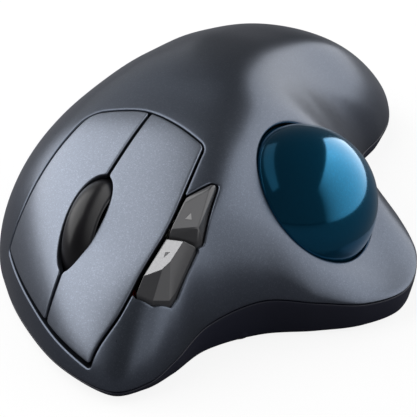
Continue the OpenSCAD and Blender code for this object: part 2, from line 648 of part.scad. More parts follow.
// Plate across the bay end, seen by one end of the cell
module contact_plate(y, height) translate([cell_at.x - 4.5, y, cell_at.z - 5])
  cube([9, 0.35, height]);
module battery_contact() color([0.8, 0.8, 0.75]) union() {
  contact_plate(3.65, 10);
  translate([cell_at.x, 3.95, cell_at.z]) rotate([-90, 0, 0])
    cylinder(r1 = 2.6, r2 = 1.6, h = 0.5, $fn = 32);
}
module battery_spring() color([0.82, 0.82, 0.8]) union() {
  contact_plate(58.8, 7.6);
  translate([cell_at.x, 58.5, cell_at.z]) rotate([90, 0, 0])
    coil(start_r = 4.2, end_r = 2.2, wire_r = 0.4, turns = 3, height = 2.9,
      turn_steps = 16, sides = 6);
}
module receiver_cap() color([0.1, 0.1, 0.11]) translate([-30.6, 12, 3]) union() {
  cube([12.2, 5.6, 5.2]);
  translate([0.8, -0.6, 0.8]) cube([10.6, 0.7, 3.6]);
}
module receiver_plug() color([0.75, 0.76, 0.78]) translate([-30.5, 17.65, 3.3]) difference() {
  cube([12, 12, 4.5]);
  translate([0.4, 2, 2.4]) cube([11.2, 11, 1.7]);
}

// ------------------------------------------- power slider, feet and screws
module power_slider() color([0.15, 0.15, 0.16]) union() {
  translate([slider_at.x - 2, slider_at.y - 1.75, 0.5]) cube([3.8, 3.5, 2.4]);
  translate([slider_at.x - 3, slider_at.y - 3, 2.88]) cube([6, 6, 0.8]);
  // two prongs on top
  for (x = [-1.4, 0.8]) translate([slider_at.x + x, slider_at.y - 1.4, 3.6])
    cube([1, 2.8, 0.9]);
}
module power_switch() color([0.6, 0.6, 0.62]) difference() {
  translate([slider_at.x - 3.4, slider_at.y - 1.8, 4.6]) cube([10, 3.6, 1.4]);
  translate([slider_at.x - 2.6, slider_at.y - 0.7, 4.4]) cube([8.4, 1.4, 0.8]);
}
// [x, y, radius]
feet_at = [[-4, -61.5, 4.5], [-35, -33, 4], [33, -25, 3.2], [7, 57, 4.2],
  [-27.5, 51, 3], [36, 0, 3.2]];
module feet() color([0.1, 0.1, 0.1])
  for (f = feet_at) at(f, 0) cylinder(r = f[2], h = floor_bottom, $fn = 48);
// Cross-head screw, head down
module case_screw(p, length) at(p, 1.2) union() {
  difference() {
    cylinder(r = 2.2, h = 1.75, $fn = 32);
    for (a = [0, 90]) rotate(a) translate([-1.3, -0.3, -1]) cube([2.6, 0.6, 1.9]);
  }
  translate([0, 0, 1.7]) cylinder(r = 1.1, h = length, $fn = 24);
}
module case_screws() color([0.3, 0.3, 0.32])
  for (p = screws_at) case_screw(p, min(9, skin_at(p) - 5.4));
module board_screws() color([0.7, 0.7, 0.72]) for (p = board_holes) {
  at(p, board_z) cylinder(r = 1.7, h = 0.9, $fn = 28);
  at(p, 3.6) cylinder(r = 0.85, h = board_z - 3.5, $fn = 20);
}

top_cover();
bottom_case();
left_button();
right_button();
forward_button();
back_button();
wheel_tyre();
wheel_hub();
wheel_axle();
wheel_carrier();
wheel_bracket();
wheel_spring();
wheel_encoder();
trackball();
ball_cup();
bearing_balls();
main_board();
radio_chip();
capacitor();
left_switch();
left_plunger();
right_switch();
right_plunger();
middle_switch();
middle_plunger();
side_board();
forward_switch();
forward_plunger();
back_switch();
back_plunger();
sensor_board();
optical_sensor();
sensor_lens();
ribbon_cable();
battery();
battery_contact();
battery_spring();
battery_door();
receiver_cap();
receiver_plug();
power_slider();
power_switch();
feet();
case_screws();
board_screws();
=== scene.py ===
"""Right-handed mouse with a thumb ball, its looks built over the CAD pieces of its frame.

It stands on z = 0 with the finger buttons towards -Y, the palm towards +Y and the thumb ball
on the +X side. Lengths are in millimetres and become metres, by MM, where they reach Blender.
Studio panels alone are placed in metres.
"""
import json
import math
import bpy
import bmesh
import numpy as np
from mathutils import Vector, Matrix, kdtree
from mathutils.geometry import delaunay_2d_cdt

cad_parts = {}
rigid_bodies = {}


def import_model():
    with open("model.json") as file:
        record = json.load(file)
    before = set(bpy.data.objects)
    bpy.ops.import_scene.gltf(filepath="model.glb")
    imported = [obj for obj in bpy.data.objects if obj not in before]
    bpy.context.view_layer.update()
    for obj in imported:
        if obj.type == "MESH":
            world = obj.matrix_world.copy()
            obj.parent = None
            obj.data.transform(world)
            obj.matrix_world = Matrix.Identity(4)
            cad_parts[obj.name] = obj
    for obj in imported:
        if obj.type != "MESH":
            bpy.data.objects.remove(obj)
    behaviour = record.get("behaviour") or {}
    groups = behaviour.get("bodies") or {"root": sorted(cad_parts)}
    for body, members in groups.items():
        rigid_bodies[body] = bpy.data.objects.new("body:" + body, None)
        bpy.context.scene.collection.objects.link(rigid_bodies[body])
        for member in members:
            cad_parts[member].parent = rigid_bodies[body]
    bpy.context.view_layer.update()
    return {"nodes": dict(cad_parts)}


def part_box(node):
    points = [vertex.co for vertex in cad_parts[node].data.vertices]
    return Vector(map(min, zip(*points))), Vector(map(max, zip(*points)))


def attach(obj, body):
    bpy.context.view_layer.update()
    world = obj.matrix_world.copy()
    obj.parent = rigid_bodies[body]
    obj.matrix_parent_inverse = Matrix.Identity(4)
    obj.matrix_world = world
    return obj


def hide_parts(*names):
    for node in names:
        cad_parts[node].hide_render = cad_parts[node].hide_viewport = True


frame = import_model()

MM = 0.001
scene = bpy.context.scene

frame_objects = set(frame["nodes"].values())
for old in list(bpy.data.objects):          # objects of an empty start-up scene
    if old not in frame_objects and old.name in ("Cube", "Light", "Camera"):
        bpy.data.objects.remove(old, do_unlink=True)


def node_box(name):
    low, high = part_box(name)
    return np.array(low) / MM, np.array(high) / MM


def node_centre(name):
    low, high = node_box(name)
    return (low + high) / 2


# =====================================================================
# Design of the shell
# =====================================================================
CENTRE = np.array([-4.0, -8.0])         # plan point that rim angles are measured about

# Rim of the shell, anticlockwise: x, y, height, and width over which the top turns down
OUTLINE = [
    (2, -71.5, 3, 12), (8.5, -66.2, 3.4, 8), (11.6, -58.8, 5.5, 7), (14.4, -48.5, 8.5, 6),
    (22.3, -39, 10.6, 5), (32.3, -33, 9.2, 5), (41, -26.5, 7.4, 6), (46.5, -17, 6.8, 6),
    (44.3, -4, 6.6, 6), (36.2, 7.4, 6.5, 6), (26.4, 16, 6, 7), (19, 25, 5.2, 8),
    (16.8, 34.8, 4.8, 9), (17.4, 45, 4.6, 10), (15.4, 56, 4.2, 16), (7.6, 66.5, 4, 22),
    (-7.8, 71.6, 4, 26), (-25, 64.3, 4, 26), (-37.5, 44.5, 4, 24), (-42.2, 21, 4, 23),
    (-44.7, 1, 4, 22), (-46.5, -18, 4, 20), (-43, -36, 3.6, 18), (-34.6, -48.3, 3.2, 14),
    (-24.3, -58.6, 3, 12), (-11.5, -67.6, 3, 12)]

# Values along y, one per station
STATION_START, STATION_PITCH = -75, 15
CREST = np.array([13, 22.7, 32.2, 38.2, 40.2, 41.2, 39, 34.6, 29.4, 21.3, 9.5])     # dome height
RIDGE = np.array([8, 9.5, 11.8, 10.4, 5.8, 1.8, .2, 1.8, 9.0, 14.0, 17])            # x of ridge
STEEP = np.array([1.2, 1.2, 1.15, .86, .64, .70, .95, 1, .95, .9, .9])  # fall of thumb slope
APRON = np.array([10, 11, 13, 14, 14.0, 11, 8, 7, 6, 6, 6.0])           # height of apron
SOFTEN = np.array([6, 6, 6, 5, 4, 4, 4, 5, 6, 8, 10.0])                 # blend along the ridge

DOME_X = -9.8                           # middle of the dome
DOME_CURVE, PALM_CURVE = .0062, .0075   # cross curvature on the thumb side and on the palm side
APRON_RISE, APRON_FALL = 3.2, .31       # apron over its stations, and its fall towards +x
OUTER_X, OUTER_FALL = 33.0, .16         # the apron falls faster from here outwards
WING_X, WING_HEIGHT, WING_FALL = 35.5, 12.3, .5

BALL = node_centre("trackball")
BALL_R = float((node_box("trackball")[1] - node_box("trackball")[0]).max() / 2)
SEAT_TILT = math.radians(46)
SEAT_NORMAL = np.array([math.sin(SEAT_TILT), 0, math.cos(SEAT_TILT)])
SEAT_ACROSS = np.array([math.cos(SEAT_TILT), 0, -math.sin(SEAT_TILT)])
SEAT_H = 5.0                            # seat plane above the ball's centre

WALL = 1.9                              # thickness of upper and lower shell
BUTTON_WALL = 1.4


# =====================================================================
# Blending and tables
# =====================================================================
def catmull(a, b, c, d, t):
    return .5 * (2 * b + (c - a) * t + (2 * a - 5 * b + 4 * c - d) * t * t
                 + (3 * b - a - 3 * c + d) * t ** 3)


def smooth_min(a, b, blend):
    share = np.clip(.5 + .5 * (b - a) / blend, 0, 1)
    return b * (1 - share) + a * share - blend * share * (1 - share)


def smooth_max(a, b, blend):
    return -smooth_min(-a, -b, blend)


def smoothstep(start, end, x):
    t = np.clip((x - start) / (end - start), 0, 1)
    return t * t * (3 - 2 * t)


def at_station(y, values):
    along = (y - STATION_START) / STATION_PITCH
    i = np.clip(np.floor(along).astype(int), 0, len(values) - 2)
    t = np.clip(along - i, 0, 1)
    return catmull(values[np.maximum(i - 1, 0)], values[i], values[i + 1],
                   values[np.minimum(i + 2, len(values) - 1)], t)


def dense_outline(steps=32):
    points = np.array(OUTLINE, float)
    count = len(points)
    return np.array([catmull(points[i - 1], points[i], points[(i + 1) % count],
                             points[(i + 2) % count], k / steps)
                     for i in range(count) for k in range(steps)])


def rim_tables():
    """Angle, radius, height and turn-down width round the rim, closed at the end."""
    dense = dense_outline()
    dx, dy = dense[:, 0] - CENTRE[0], dense[:, 1] - CENTRE[1]
    angle = np.degrees(np.arctan2(dy, dx))
    angle = np.where(angle < angle[0] - 1e-6, angle + 360, angle)
    closed = [np.append(v, v[0]) for v in (np.hypot(dx, dy), dense[:, 2], dense[:, 3])]
    return [np.append(angle, angle[0] + 360)] + closed


RIM_ANGLE, RIM_RADIUS, RIM_HEIGHT, RIM_WIDTH = rim_tables()


def around(angle, table):
    turned = angle - 360 * np.floor((angle - RIM_ANGLE[0]) / 360)
    return np.interp(turned, RIM_ANGLE, table)


# =====================================================================
# Faired top of the shell
# =====================================================================
def rough_top(x, y):
    """Dome, thumb slope and apron before fairing; also the seat plane, the distance from the
    seat's axis, and the ridge."""
    across = x - DOME_X
    dome = at_station(y, CREST) - np.where(across < 0, PALM_CURVE, DOME_CURVE) * across * across
    ridge = at_station(y, RIDGE)
    ridge_height = at_station(y, CREST) - DOME_CURVE * (ridge - DOME_X) ** 2
    slope = ridge_height - at_station(y, STEEP) * (x - ridge)
    apron = (at_station(y, APRON) + APRON_RISE - APRON_FALL * x
             - OUTER_FALL * (smooth_max(x, OUTER_X, blend=6.0) - OUTER_X))
    # the ridge is crisper beside the ball
    ridge_blend = np.minimum(at_station(y, SOFTEN), 1.6 + .05 * np.abs(y + 5))
    z = smooth_min(dome, smooth_max(slope, apron, blend=6.0), ridge_blend)
    # the wing falls outwards past the ball
    wing = WING_HEIGHT - WING_FALL * (x - WING_X)
    z = z + (smooth_min(z, wing, blend=1.6) - z) * smoothstep(33.5, 36.0, x)
    seat = BALL[2] + (SEAT_H - SEAT_NORMAL[0] * (x - BALL[0])) / SEAT_NORMAL[2]
    from_axis = np.sqrt(np.maximum((x - BALL[0]) ** 2 + (y - BALL[1]) ** 2
                                   + (seat - BALL[2]) ** 2 - SEAT_H ** 2, 0))
    return z, seat, from_axis, ridge


def bending(height):
    """Gradient of the bending energy of a height field."""
    out = np.zeros_like(height)
    for total, field in ((out, height), (out.T, height.T)):
        curve = field[2:] - 2 * field[1:-1] + field[:-2]
        total[2:] += curve
        total[1:-1] -= 2 * curve
        total[:-2] += curve
    twist = 2 * (height[1:, 1:] - height[1:, :-1] - height[:-1, 1:] + height[:-1, :-1])
    out[1:, 1:] += twist
    out[1:, :-1] -= twist
    out[:-1, 1:] -= twist
    out[:-1, :-1] += twist
    return out


def relax(target, hold, steps=900, enough=1e-9):
    """Least bending energy against a weighted pull to the target, by conjugate gradients."""
    height = target.copy()
    residual = hold * target - (bending(height) + hold * height)
    scale = 1 / (20 + hold)
    direction = scale * residual
    size = (residual * direction).sum()
    for _ in range(steps):
        change = bending(direction) + hold * direction
        step = size / (direction * change).sum()
        height += step * direction
        residual -= step * change
        scaled = scale * residual
        new_size = (residual * scaled).sum()
        direction = scaled + new_size / size * direction
        size = new_size
        if size < enough:
            break
    return height


def fair_top():
    """Smooth height field on a 1 mm grid, held to the rough top where that is wanted."""
    grid_x, grid_y = np.arange(-62, 64.0), np.arange(-88, 88.0)
    x, y = np.meshgrid(grid_x, grid_y, indexing="ij")
    z, seat_z, from_axis, ridge = rough_top(x, y)
    seat = 1 - smoothstep(17.3, 18.3, from_axis)
    dome = 1 - smoothstep(-1.5, 2.5, x - ridge)                 # palm side of the ridge
    ring = (1 - smoothstep(20, 27, from_axis)) * (1 - dome)     # slope round the seat, free to flow
    smoothing = 2.3 + 1.6 * (1 - dome) + 4.0 * ring             # length that is evened out
    hold = (1 / smoothing ** 4) * (1 - seat) + seat * (1 / 1.3 ** 4)
    target = z + (seat_z - z) * seat
    rim = around(np.degrees(np.arctan2(y - CENTRE[1], x - CENTRE[0])), RIM_HEIGHT)
    above_rim = smooth_max(target, rim + .6, blend=2.0)
    target = target + (above_rim - target) * smoothstep(17, 19, from_axis)
    return grid_x, grid_y, relax(target, hold)


TOP_X, TOP_Y, TOP_Z = fair_top()


def top_height(x, y):
    """Cubic reading of the faired height field."""
    across = np.clip(x - TOP_X[0], 1, len(TOP_X) - 3.001)
    along = np.clip(y - TOP_Y[0], 1, len(TOP_Y) - 3.001)
    i, j = across.astype(int), along.astype(int)

    def basis(t):
        return ((1 - t) ** 3 / 6, (3 * t ** 3 - 6 * t * t + 4) / 6,
                (-3 * t ** 3 + 3 * t * t + 3 * t + 1) / 6, t ** 3 / 6)

    share_x, share_y = basis(across - i), basis(along - j)
    return sum(share_x[a] * sum(share_y[b] * TOP_Z[i + a - 1, j + b - 1] for b in range(4))
               for a in range(4))


# =====================================================================
# Shell surface over a flat pattern plane centred on CENTRE
# =====================================================================
def roundness_table():
    """How fast the shell turns down at the rim, per degree, evened out round the outline."""
    angle = np.arange(0, 360, 1.0)
    radius, width = around(angle, RIM_RADIUS), around(angle, RIM_WIDTH)
    slope = (around(angle + 1, RIM_RADIUS) - around(angle - 1, RIM_RADIUS)) / math.radians(2)
    turn = np.log(radius * radius / np.hypot(radius, slope) / (1.5 * width))
    kernel = np.exp(-.5 * (np.arange(-24, 25) / 7.0) ** 2)
    kernel /= kernel.sum()
    wrapped = np.concatenate([turn[-24:], turn, turn[:24]])
    return np.exp(np.convolve(wrapped, kernel, "valid"))


ROUNDNESS = roundness_table()


def roundness_at(angle):
    degree = np.mod(angle, 360)
    i = np.floor(degree).astype(int)
    return catmull(ROUNDNESS[(i - 1) % 360], ROUNDNESS[i % 360], ROUNDNESS[(i + 1) % 360],
                   ROUNDNESS[(i + 2) % 360], degree - i)


def polar(flat):
    """Distance and angle in degrees of pattern points."""
    return np.hypot(flat[:, 0], flat[:, 1]), np.degrees(np.arctan2(flat[:, 1], flat[:, 0]))


def surface(flat):
    """Points of the shell for pattern points; the surface carries on smoothly past the rim."""
    distance, angle = polar(np.asarray(flat, float))
    radius, rim = around(angle, RIM_RADIUS), around(angle, RIM_HEIGHT)
    inset = 1 - distance / radius
    plan = radius * (1 - inset * inset)
    x = CENTRE[0] + plan * np.cos(np.radians(angle))
    y = CENTRE[1] + plan * np.sin(np.radians(angle))
    turn = roundness_at(angle)
    done = turn * inset * inset
    part = np.minimum(done, 1)
    rise = np.where(done < 1, inset * np.sqrt(turn * (3 - 3 * part + part * part)),
                    np.sign(inset))
    return np.column_stack([x, y, rim + (top_height(x, y) - rim) * rise])


def surface_frame(flat):
    """Shell points, their two derivatives over the pattern, and their normals."""
    flat = np.asarray(flat, float)
    step = .04
    first = (surface(flat + [step, 0]) - surface(flat - [step, 0])) / (2 * step)
    second = (surface(flat + [0, step]) - surface(flat - [0, step])) / (2 * step)
    normal = np.cross(first, second)
    normal /= np.linalg.norm(normal, axis=1)[:, None] + 1e-12
    return surface(flat), first, second, normal


def points_normals(flat):
    point, _, _, normal = surface_frame(flat)
    return point, normal


def step_on(flat, move):
    """Moves pattern points so that their shell points move by the given tangent vectors."""
    _, first, second, _ = surface_frame(flat)
    ff, ss, fs = (first * first).sum(1), (second * second).sum(1), (first * second).sum(1)
    move_f, move_s = (first * move).sum(1), (second * move).sum(1)
    det = ff * ss - fs * fs
    return flat + np.column_stack([(move_f * ss - move_s * fs) / det,
                                   (move_s * ff - move_f * fs) / det])


def skin_height(x, y):
    """Height of the shell above one plan point."""
    dx, dy = np.array([x], float) - CENTRE[0], np.array([y], float) - CENTRE[1]
    plan = np.hypot(dx, dy)
    radius = around(np.degrees(np.arctan2(dy, dx)), RIM_RADIUS)
    t = 1 - np.sqrt(np.clip(1 - plan / radius, 0, 1))
    flat = np.column_stack([t * radius * dx / (plan + 1e-9), t * radius * dy / (plan + 1e-9)])
    return surface(flat)[0][2]


# =====================================================================
# Regions of the shell, each a function that is positive inside
# =====================================================================
def spline(points, steps=8):
    points = np.array(points, float)
    last = len(points) - 1
    out = [catmull(points[max(i - 1, 0)], points[i], points[i + 1], points[min(i + 2, last)],
                   k / steps) for i in range(last) for k in range(steps)]
    return np.array(out + [points[-1]])


def curve_distance(x, y, curve, extend=80):
    """Distance to a curve drawn out straight at both ends, positive on its right-hand side."""
    before, after = curve[1] - curve[0], curve[-1] - curve[-2]
    curve = np.vstack([curve[0] - extend * before / np.linalg.norm(before), curve,
                       curve[-1] + extend * after / np.linalg.norm(after)])
    best = np.full(x.shape, 1e18)
    side = np.zeros(x.shape)
    for a, b in zip(curve[:-1], curve[1:]):
        span = b - a
        square = span @ span
        if square < 1e-12:
            continue
        t = np.clip(((x - a[0]) * span[0] + (y - a[1]) * span[1]) / square, 0, 1)
        dx, dy = x - a[0] - t * span[0], y - a[1] - t * span[1]
        distance = dx * dx + dy * dy
        nearer = distance < best
        best = np.where(nearer, distance, best)
        side = np.where(nearer, dx * span[1] - dy * span[0], side)
    return np.sqrt(best) * np.sign(side)


def polygon_distance(x, y, corners):
    corners = np.array(corners, float)
    best = np.full(x.shape, 1e18)
    inside = np.zeros(x.shape, bool)
    for a, b in zip(corners, np.roll(corners, -1, 0)):
        span = b - a
        t = np.clip(((x - a[0]) * span[0] + (y - a[1]) * span[1]) / (span @ span), 0, 1)
        distance = (x - a[0] - t * span[0]) ** 2 + (y - a[1] - t * span[1]) ** 2
        best = np.minimum(best, distance)
        if abs(span[1]) > 1e-12:
            crossed = x < a[0] + (y - a[1]) * span[0] / span[1]
            inside ^= ((a[1] > y) != (b[1] > y)) & crossed
    return np.sqrt(best) * np.where(inside, 1, -1)


def both_of(a, b, radius):
    """Intersection with rounded corners."""
    return (np.maximum(radius, np.minimum(a, b))
            - np.hypot(np.maximum(radius - a, 0), np.maximum(radius - b, 0)))


def any_of(a, b, radius):
    """Union with rounded corners."""
    return -both_of(-a, -b, radius)


# Plan curves round the finger buttons: behind them, on the thumb side, on the far side, between
REAR = spline([[-25, -24.9], [-18.8, -23], [-12.2, -22], [-4.3, -23.9], [3.8, -27.3]])
INDEX = spline([[3.8, -27.3], [4.7, -37.3], [5, -47], [3.5, -56], [1.5, -64.2], [-2.6, -70.5],
                [-4, -77]])
MIDDLE = spline([[-42, -52], [-34, -46.5], [-30.3, -41], [-27.5, -33.8], [-25, -24.9]])
SPLIT = spline([[-11.6, -18], [-11.8, -30], [-12.7, -42], [-14.7, -58], [-17, -65], [-20, -77]])

# Side buttons: plan corners x, y; and corners x, y, rise above the shell of the top face
BACK_PLAN = [[5.43, -40.89], [8.88, -35.6], [9.82, -35.25], [11.1, -45.3], [10.57, -46.35],
             [5.53, -49.3]]
BACK_TOP = [[5.5, -48.5, .9], [5.75, -42.6, .8], [9.3, -37.3, 1.1], [10.35, -45.3, 2.0]]
FORWARD_PLAN = [[5.2, -50.0], [8.86, -48.35], [10.6, -47.2], [9.75, -55.2], [9.25, -57.0],
                [6.6, -59.5], [3.4, -60.4]]
FORWARD_TOP = [[5.45, -50.2, .8], [8.95, -49.4, 1.9], [8.0, -53.7, 2.4], [6.95, -55.6, 2.2],
               [3.8, -58.0, .9]]
# Joins the openings of the side buttons to that of the finger buttons
BRIDGE = [[4, -42], [6.5, -42], [6.5, -50], [5, -59.5], [2.6, -60]]

BUTTON_GAP = .5         # finger button to its opening, and side button to its opening
SPLIT_GAP = .35         # half of the gap between the finger buttons
LIP_HEIGHT, LIP_SLOPE, LIP_X = 6.2, .18, -2.4       # sloping front edge under the buttons
LIP_GAP = 1.1
WHEEL_SLOT = np.array([-13.6, -50.0])
SLOT_HALF_WIDTH, SLOT_HALF_LENGTH = 4.2, 8.9
SLOT_TURN = math.radians(-5)


def slot_distance(x, y):
    """Roughly the distance to the oval wheel slot, positive inside."""
    cos, sin = math.cos(SLOT_TURN), math.sin(SLOT_TURN)
    dx, dy = x - WHEEL_SLOT[0], y - WHEEL_SLOT[1]
    across, along = dx * cos + dy * sin, -dx * sin + dy * cos
    reach = np.sqrt((across / SLOT_HALF_WIDTH) ** 2 + (along / SLOT_HALF_LENGTH) ** 2) + 1e-9
    slope = np.sqrt((across / SLOT_HALF_WIDTH ** 2) ** 2
                    + (along / SLOT_HALF_LENGTH ** 2) ** 2) / reach + 1e-9
    return (1 - reach) / slope


def above_lip(x, z, gap):
    return (z - LIP_HEIGHT - gap + LIP_SLOPE * (x - LIP_X)) * math.cos(math.atan(LIP_SLOPE))


def buttons_area(x, y, radius):
    thumb_side = both_of(curve_distance(x, y, REAR), curve_distance(x, y, INDEX), radius)
    return both_of(thumb_side, curve_distance(x, y, MIDDLE), radius + 1.2)


def finger_button(side):
    """Region of a finger button: side -1 lies towards +X of the split, side 1 towards -X."""
    def region(points):
        x, y, z = points.T
        area = both_of(buttons_area(x, y, 1.3) - BUTTON_GAP,
                       side * curve_distance(x, y, SPLIT) - SPLIT_GAP, radius=.55)
        area = both_of(area, -slot_distance(x, y), radius=.55)
        return both_of(area, above_lip(x, z, LIP_GAP), radius=.7)
    return region


def front_opening(points):
    x, y, z = points.T
    fingers = both_of(buttons_area(x, y, 1.6), above_lip(x, z, 0), radius=1.0)
    sides = np.maximum(polygon_distance(x, y, BACK_PLAN) + BUTTON_GAP,
                       polygon_distance(x, y, FORWARD_PLAN) + BUTTON_GAP)
    return any_of(fingers, np.maximum(sides, polygon_distance(x, y, BRIDGE)), radius=.6)


def ball_opening(points):
    """Two slightly offset circles seen along the seat's axis."""
    offset = points - BALL
    a, b = offset @ SEAT_ACROSS, offset[:, 1]
    return np.maximum(16.48 - np.hypot(a, b), 16.62 - np.hypot(a + .32, b - .45))


# =====================================================================
# Contours of a region in the pattern plane
# =====================================================================
GRID_STEP = .42
GRID_X = np.arange(-48, 56, GRID_STEP)
GRID_Y = np.arange(-72, 84, GRID_STEP)
GRID_SHAPE = (len(GRID_X), len(GRID_Y))
GRID_POINTS = surface(np.column_stack([
    v.ravel() for v in np.meshgrid(GRID_X, GRID_Y, indexing="ij")]))


def loop_area(loop):
    """Signed area, positive for an anticlockwise loop."""
    after = np.roll(loop, -1, 0)
    return .5 * (loop[:, 0] * after[:, 1] - after[:, 0] * loop[:, 1]).sum()


def link_crossings(inside, along_x, along_y):
    """For each crossed grid edge, the crossings it joins through its two cells."""
    key = {}
    for k, (i, j) in enumerate(along_x):
        key[(0, i, j)] = k
    for k, (i, j) in enumerate(along_y):
        key[(1, i, j)] = k + len(along_x)
    cells = set()
    for (i, j) in along_x:
        cells.update([(i, j), (i, j - 1)])
    for (i, j) in along_y:
        cells.update([(i, j), (i - 1, j)])
    links = [[] for _ in range(len(along_x) + len(along_y))]
    for (i, j) in sorted(cells):
        sides = [key.get((0, i, j)), key.get((1, i + 1, j)),
                 key.get((0, i, j + 1)), key.get((1, i, j))]
        found = [k for k in sides if k is not None]
        pairs = []
        if len(found) == 2:
            pairs = [found]
        elif len(found) == 4:
            order = ((0, 3), (1, 2)) if inside[i, j] else ((0, 1), (2, 3))
            pairs = [(sides[a], sides[b]) for a, b in order]
        for a, b in pairs:
            links[a].append(b)
            links[b].append(a)
    return links


def walk_loops(links):
    """Lists of crossings met by following the links round."""
    seen = np.zeros(len(links), bool)
    walks = []
    for start in range(len(links)):
        if seen[start] or len(links[start]) != 2:
            continue
        walk, current, previous = [start], links[start][0], start
        seen[start] = True
        while current != start and not seen[current]:
            seen[current] = True
            walk.append(current)
            ahead = [k for k in links[current] if k != previous]
            if not ahead:
                break
            previous, current = current, ahead[0]
        walks.append(walk)
    return walks


def contours(region):
    """Closed pattern loops where the region's function is zero, those inside the rim."""
    inside = region(GRID_POINTS).reshape(GRID_SHAPE) > 0
    along_x = np.argwhere(inside[:-1, :] != inside[1:, :])
    along_y = np.argwhere(inside[:, :-1] != inside[:, 1:])
    starts = np.vstack([along_x, along_y])
    stops = np.vstack([along_x + [1, 0], along_y + [0, 1]])
    low = np.column_stack([GRID_X[starts[:, 0]], GRID_Y[starts[:, 1]]])
    high = np.column_stack([GRID_X[stops[:, 0]], GRID_Y[stops[:, 1]]])
    start_inside = inside[starts[:, 0], starts[:, 1]]
    for _ in range(12):                 # halve each edge towards the crossing
        middle = (low + high) / 2
        same = ((region(surface(middle)) > 0) == start_inside)[:, None]
        low = np.where(same, middle, low)
        high = np.where(same, high, middle)
    crossings = (low + high) / 2
    loops = []
    for walk in walk_loops(link_crossings(inside, along_x, along_y)):
        loop = crossings[walk]
        distance, angle = polar(loop)
        within = (distance / around(angle, RIM_RADIUS)).max() < 1.01
        if len(walk) > 20 and abs(loop_area(loop)) > 5 and within:
            loops.append(loop)
    return loops


def resample(loop, region, spacing):
    """Even spacing along the shell, then pulled back on to the region's edge."""
    points = surface(loop)
    lengths = np.linalg.norm(np.roll(points, -1, 0) - points, axis=1)
    travelled = np.concatenate([[0], np.cumsum(lengths)])
    count = max(24, int(round(travelled[-1] / spacing)))
    places = np.linspace(0, travelled[-1], count, endpoint=False)
    closed = np.vstack([loop, loop[:1]])
    flat = np.column_stack([np.interp(places, travelled, closed[:, k]) for k in (0, 1)])

    def slope(offset):
        rise = region(surface(flat + offset)) - region(surface(flat - offset))
        return rise / (2 * max(offset))

    step = .03
    for _ in range(3):
        value = region(surface(flat))
        slope_x, slope_y = slope(np.array([step, 0])), slope(np.array([0, step]))
        pull = np.clip(value / (slope_x * slope_x + slope_y * slope_y + 1e-9), -1, 1)
        flat = flat - np.column_stack([pull * slope_x, pull * slope_y])
    return flat


# =====================================================================
# Mesh helpers
# =====================================================================
def place(name, mesh, material, smooth=True, sharp=None):
    """Object for a mesh; sharp is the angle in degrees above which edges stay sharp."""
    ob = bpy.data.objects.new(name, mesh)
    scene.collection.objects.link(ob)
    if smooth:
        mesh.polygons.foreach_set("use_smooth", [True] * len(mesh.polygons))
    if sharp:
        mesh.set_sharp_from_angle(angle=math.radians(sharp))
    mesh.materials.append(material)
    return ob


def from_lists(name, points, faces, material, sharp):
    mesh = bpy.data.meshes.new(name)
    mesh.from_pydata([tuple(v) for v in np.asarray(points) * MM], [], faces)
    mesh.validate()
    ob = place(name, mesh, material, sharp=sharp)
    mesh.update()
    return ob


def from_bmesh(name, bm, material, **options):
    mesh = bpy.data.meshes.new(name)
    bm.to_mesh(mesh)
    bm.free()
    return place(name, mesh, material, **options)


def register(ob, body, node=None):
    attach(ob, body)
    if node:
        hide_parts(node)


class Builder:
    """Vertices and faces of one piece, gathered block by block."""

    def __init__(self):
        self.blocks = []
        self.faces = []
        self.count = 0

    def add(self, points):
        start = self.count
        self.blocks.append(points)
        self.count += len(points)
        return list(range(start, self.count))

    def fill(self, triangles, start=0, flip=False):
        for a, b, c in (triangles + start).tolist():
            self.faces.append((a, c, b) if flip else (a, b, c))

    def bridge(self, previous, current, flip=False):
        """Band of quads between two closed rows of vertices."""
        count = len(previous)
        for i in range(count):
            j = (i + 1) % count
            if flip:
                self.faces.append((previous[i], previous[j], current[j], current[i]))
            else:
                self.faces.append((previous[i], current[i], current[j], previous[j]))

    def ring(self, previous, points, flip=False):
        current = self.add(points)
        self.bridge(previous, current, flip)
        return current

    def build(self, name, material, sharp):
        return from_lists(name, np.vstack(self.blocks), self.faces, material, sharp)


def even_odd(points, loops):
    """Which points lie inside an odd number of loops; edges are taken 64 at a time."""
    inside = np.zeros(len(points), bool)
    x, y = points[:, 0][:, None], points[:, 1][:, None]
    for loop in loops:
        after = np.roll(loop, -1, 0)
        for first in range(0, len(loop), 64):
            a, b = loop[first:first + 64], after[first:first + 64]
            dy = b[:, 1] - a[:, 1]
            dy = np.where(np.abs(dy) < 1e-12, 1e-12, dy)
            hit = ((a[:, 1][None] > y) != (b[:, 1][None] > y)) & \
                (x < a[:, 0][None] + (y - a[:, 1][None]) * ((b[:, 0] - a[:, 0]) / dy)[None])
            inside ^= (hit.sum(1) % 2).astype(bool)
    return inside


def triangulate(loops, points):
    """Flat points, anticlockwise triangles between the loops, and each loop's vertex numbers."""
    corners, edges, ranges = [], [], []
    for loop in loops:
        start, count = len(corners), len(loop)
        corners += [Vector(p) for p in loop]
        edges += [(start + i, start + (i + 1) % count) for i in range(count)]
        ranges.append(range(start, start + count))
    corners += [Vector(p) for p in points]
    made, _, faces, sources, _, _ = delaunay_2d_cdt(corners, edges, [], 0, 1e-6)
    flat = np.array([tuple(v) for v in made])
    triangles = np.array(faces, int)
    triangles = triangles[even_odd(flat[triangles].mean(1), loops)]
    a = flat[triangles[:, 1]] - flat[triangles[:, 0]]
    b = flat[triangles[:, 2]] - flat[triangles[:, 0]]
    clockwise = (a[:, 0] * b[:, 1] - a[:, 1] * b[:, 0]) < 0
    triangles[clockwise] = triangles[clockwise][:, ::-1]
    made_from = {old: new for new, olds in enumerate(sources) for old in olds}
    return flat, triangles, [[made_from[i] for i in numbers] for numbers in ranges]


# =====================================================================
# Rim samples and filling points
# =====================================================================
RIM_COUNT = 760
LOOP_SPACING = .38
FINENESS = 1.0


